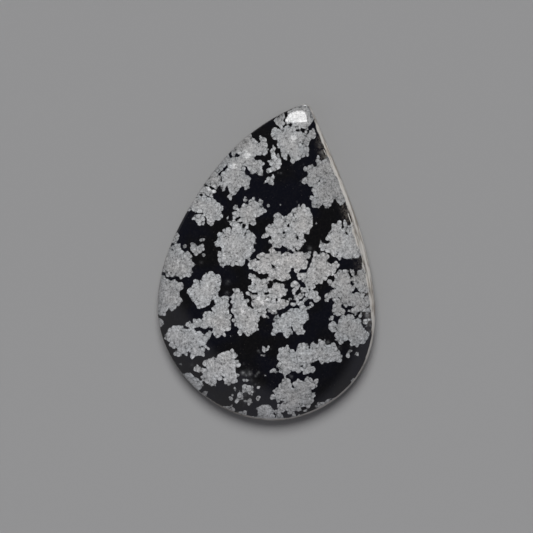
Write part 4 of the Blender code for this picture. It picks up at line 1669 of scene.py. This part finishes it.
        # The rim's brightness by bearing, largely painted light, scales its colour.
        return mask, self.stretch(hue, self.times(capped, self.attribute("rim_light_and_tone")))

    def tip_facet(self) -> tuple[Socket, Socket]:
        """The small flat on the tip: where it is, and the normals of the stone with it.

        Returns:
            Its mask and the normals.
        """
        inside = self.map_range(self.attribute("tip_facet"), (0.05, -0.05), smooth=True)
        mask = self.times(inside, self.map_range(self.height, (self.girdle - 0.1, self.girdle + 0.1)))
        flat = self.wire("ShaderNodeVectorTransform", {0: self.finish.facet_facing}, vector_type="NORMAL",
                         convert_from="OBJECT", convert_to="WORLD")
        dome = self.node("ShaderNodeNewGeometry").outputs["Normal"]
        facing = self.vector("ADD", self.stretch(dome, self.less(1.0, mask)), self.stretch(flat, mask))
        return mask, self.vector("NORMALIZE", facing)


@dataclass
class Cabochon:
    """The whole object: the stone with its markings and its finish."""

    body: StoneBody = field(default_factory=StoneBody)
    rim: GroundRimAndSheen = field(default_factory=GroundRimAndSheen)
    finish: ObsidianFinish = field(default_factory=ObsidianFinish)

    def build(self) -> bpy.types.Object:
        """Builds, marks and dresses the stone.

        Returns:
            The finished piece, riding on the frame.
        """
        stone = self.body.build(self.finish.build())
        self.mark(stone.data)
        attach(stone, "root")
        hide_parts(STONE_NODE)
        return stone

    def mark(self, mesh: bpy.types.Mesh) -> None:
        """Writes the markings onto the mesh's points.

        Args:
            mesh: the stone's mesh.
        """
        places = np.empty(len(mesh.vertices) * 3)
        mesh.vertices.foreach_get("co", places)
        seen_from_above = places.reshape(-1, 3)[:, :2] / MM
        loop = self.body.outline_loop()
        outline = np.array([vertex.co[:2] for vertex in loop.vertices]) / MM
        bpy.data.meshes.remove(loop)
        marks = FlakeField(seen_from_above, self.rim, outline[::OUTLINE_STEP])
        marks.draw()
        for name, values in marks.attributes().items():
            layer = mesh.attributes.new(name, "FLOAT", "POINT")
            layer.data.foreach_set("value", values.astype(np.float32))


@dataclass(frozen=True)
class FloorFinish:
    """A plain pale grey floor.

    Args:
        grey: its lightness.
    """

    grey: float = 0.42

    def build(self) -> bpy.types.Material:
        """Makes the floor's material.

        Returns:
            The material.
        """
        material = bpy.data.materials.new("pale_floor")
        material.use_nodes = True
        shader = material.node_tree.nodes["Principled BSDF"]
        shader.inputs["Base Color"].default_value = (self.grey, self.grey, self.grey, 1.0)
        shader.inputs["Roughness"].default_value = 1.0
        shader.inputs["Specular IOR Level"].default_value = 0.0
        return material


@dataclass(frozen=True)
class SoftPanel:
    """A large soft panel in the room, told by which way it lies.

    Args:
        facing: the weights of a direction's x, y and z.
        fade: the weighted sums where it begins and where it is full.
        strength: how bright it is.
    """

    facing: tuple[float, float, float]
    fade: tuple[float, float]
    strength: float


@dataclass
class Studio:
    """The floor, the camera straight above and soft lights.

    Args:
        lens: the camera's focal length.
        sensor: its sensor's width.
        floor_side: the floor's width.
        floor_drop: how far the floor lies under the stone.
        sky: how bright the room is overhead.
        room_hue: the room's colour.
        panels: the room's soft panels, low on the left and on the right.
        key_strength: how bright the main light is.
        key_width: how wide the main light looks, in degrees.
        key_from: where the main light comes from.
        window_from: where the small bright window lies that mirrors in the flat on the tip.
        window_away: how far off it is.
        window_size: its width and height.
        window_strength: its power.
    """

    lens: float = 300.0
    sensor: float = 36.0
    floor_side: float = 12.0
    floor_drop: float = 0.02 * MM
    sky: float = 0.08
    room_hue: Colour = (0.99, 0.98, 1.06, 1.0)
    panels: tuple[SoftPanel, ...] = (
        SoftPanel((-0.64, -0.76, 0.0), (0.44, 0.64), 0.30),
        SoftPanel((0.65, -0.45, -0.60), (0.33, 0.62), 0.30),
    )
    key_strength: float = 2.11
    key_width: float = 38.0
    key_from: tuple[float, float, float] = (-0.045, 0.595, 0.81)
    window_from: tuple[float, float, float] = (0.138, 0.968, 0.208)
    window_away: float = 1.0
    window_size: tuple[float, float] = (0.54, 0.19)
    window_strength: float = 3.3

    def lay_floor(self) -> bpy.types.Object:
        """Lays the floor just under the stone.

        Returns:
            The floor.
        """
        half = self.floor_side / 2
        corners = ((-half, -half), (half, -half), (half, half), (-half, half))
        mesh = bpy.data.meshes.new("floor")
        mesh.from_pydata([(x, y, -self.floor_drop) for x, y in corners], [], [(0, 1, 2, 3)])
        mesh.materials.append(FloorFinish().build())
        floor = add_object("floor", mesh)
        return floor

    def hang_camera(self) -> bpy.types.Object:
        """Hangs the camera straight over the middle of the picture.

        Returns:
            The camera.
        """
        width = PICTURE_WIDTH_PX / PIXELS_PER_MM * MM
        x, y = to_mm((PICTURE_MIDDLE_PX,))[0] * MM
        data = bpy.data.cameras.new("camera")
        data.lens = self.lens
        data.sensor_width = self.sensor
        camera = add_object("camera", data)
        camera.location = (x, y, StoneBody.girdle_top + width * self.lens / self.sensor)
        bpy.context.scene.camera = camera
        return camera

    def add_key(self) -> bpy.types.Object:
        """Adds the main light, a broad soft one from above the tip.

        Returns:
            The light.
        """
        data = bpy.data.lights.new("key", "SUN")
        data.energy = self.key_strength
        data.angle = math.radians(self.key_width)
        key = add_object("key", data)
        key.rotation_euler = Vector(self.key_from).to_track_quat("Z", "Y").to_euler()
        key.visible_glossy = False
        return key

    def add_window(self) -> bpy.types.Object:
        """Adds the bright window that mirrors in the tip and lights nothing else.

        Returns:
            The light.
        """
        data = bpy.data.lights.new("window", "AREA")
        data.shape = "RECTANGLE"
        data.size, data.size_y = self.window_size
        data.energy = self.window_strength
        window = add_object("window", data)
        towards = Vector(self.window_from).normalized()
        window.location = towards * self.window_away
        window.rotation_euler = towards.to_track_quat("Z", "Y").to_euler()
        window.visible_diffuse = False
        return window

    def light_room(self) -> bpy.types.World:
        """Makes the room: dim overhead, with soft panels low on both sides.

        Returns:
            The world.
        """
        world = bpy.data.worlds.new("room")
        world.use_nodes = True
        graph = Graph(world.node_tree)
        way = graph.node("ShaderNodeTexCoord").outputs["Generated"]
        strength = self.sky
        for panel in self.panels:
            both = {0: way, 1: panel.facing}
            lean = graph.wire("ShaderNodeVectorMath", both, "Value", operation="DOT_PRODUCT")
            glow = graph.map_range(lean, panel.fade, (0.0, panel.strength), smooth=True)
            strength = graph.plus(strength, glow)
        shine = {"Color": self.room_hue, "Strength": strength}
        light = graph.wire("ShaderNodeBackground", shine, "Background")
        graph.feed(graph.node("ShaderNodeOutputWorld").inputs["Surface"], light)
        bpy.context.scene.world = world
        return world

    def build(self) -> list[bpy.types.ID]:
        """Sets up the whole studio.

        Returns:
            Its pieces.
        """
        bpy.context.scene.view_settings.view_transform = "Standard"
        return [self.lay_floor(), self.hang_camera(), self.add_key(), self.add_window(), self.light_room()]


def main() -> None:
    """Builds the stone and the studio, and reports each piece."""
    logging.basicConfig(level=logging.INFO, format="%(name)s: %(message)s")
    stone = Cabochon().build()
    log.info("%s: %d points, %d faces", stone.name, len(stone.data.vertices), len(stone.data.polygons))
    for piece in Studio().build():
        log.info("%s: in place", piece.name)


if __name__ == "__main__":
    main()
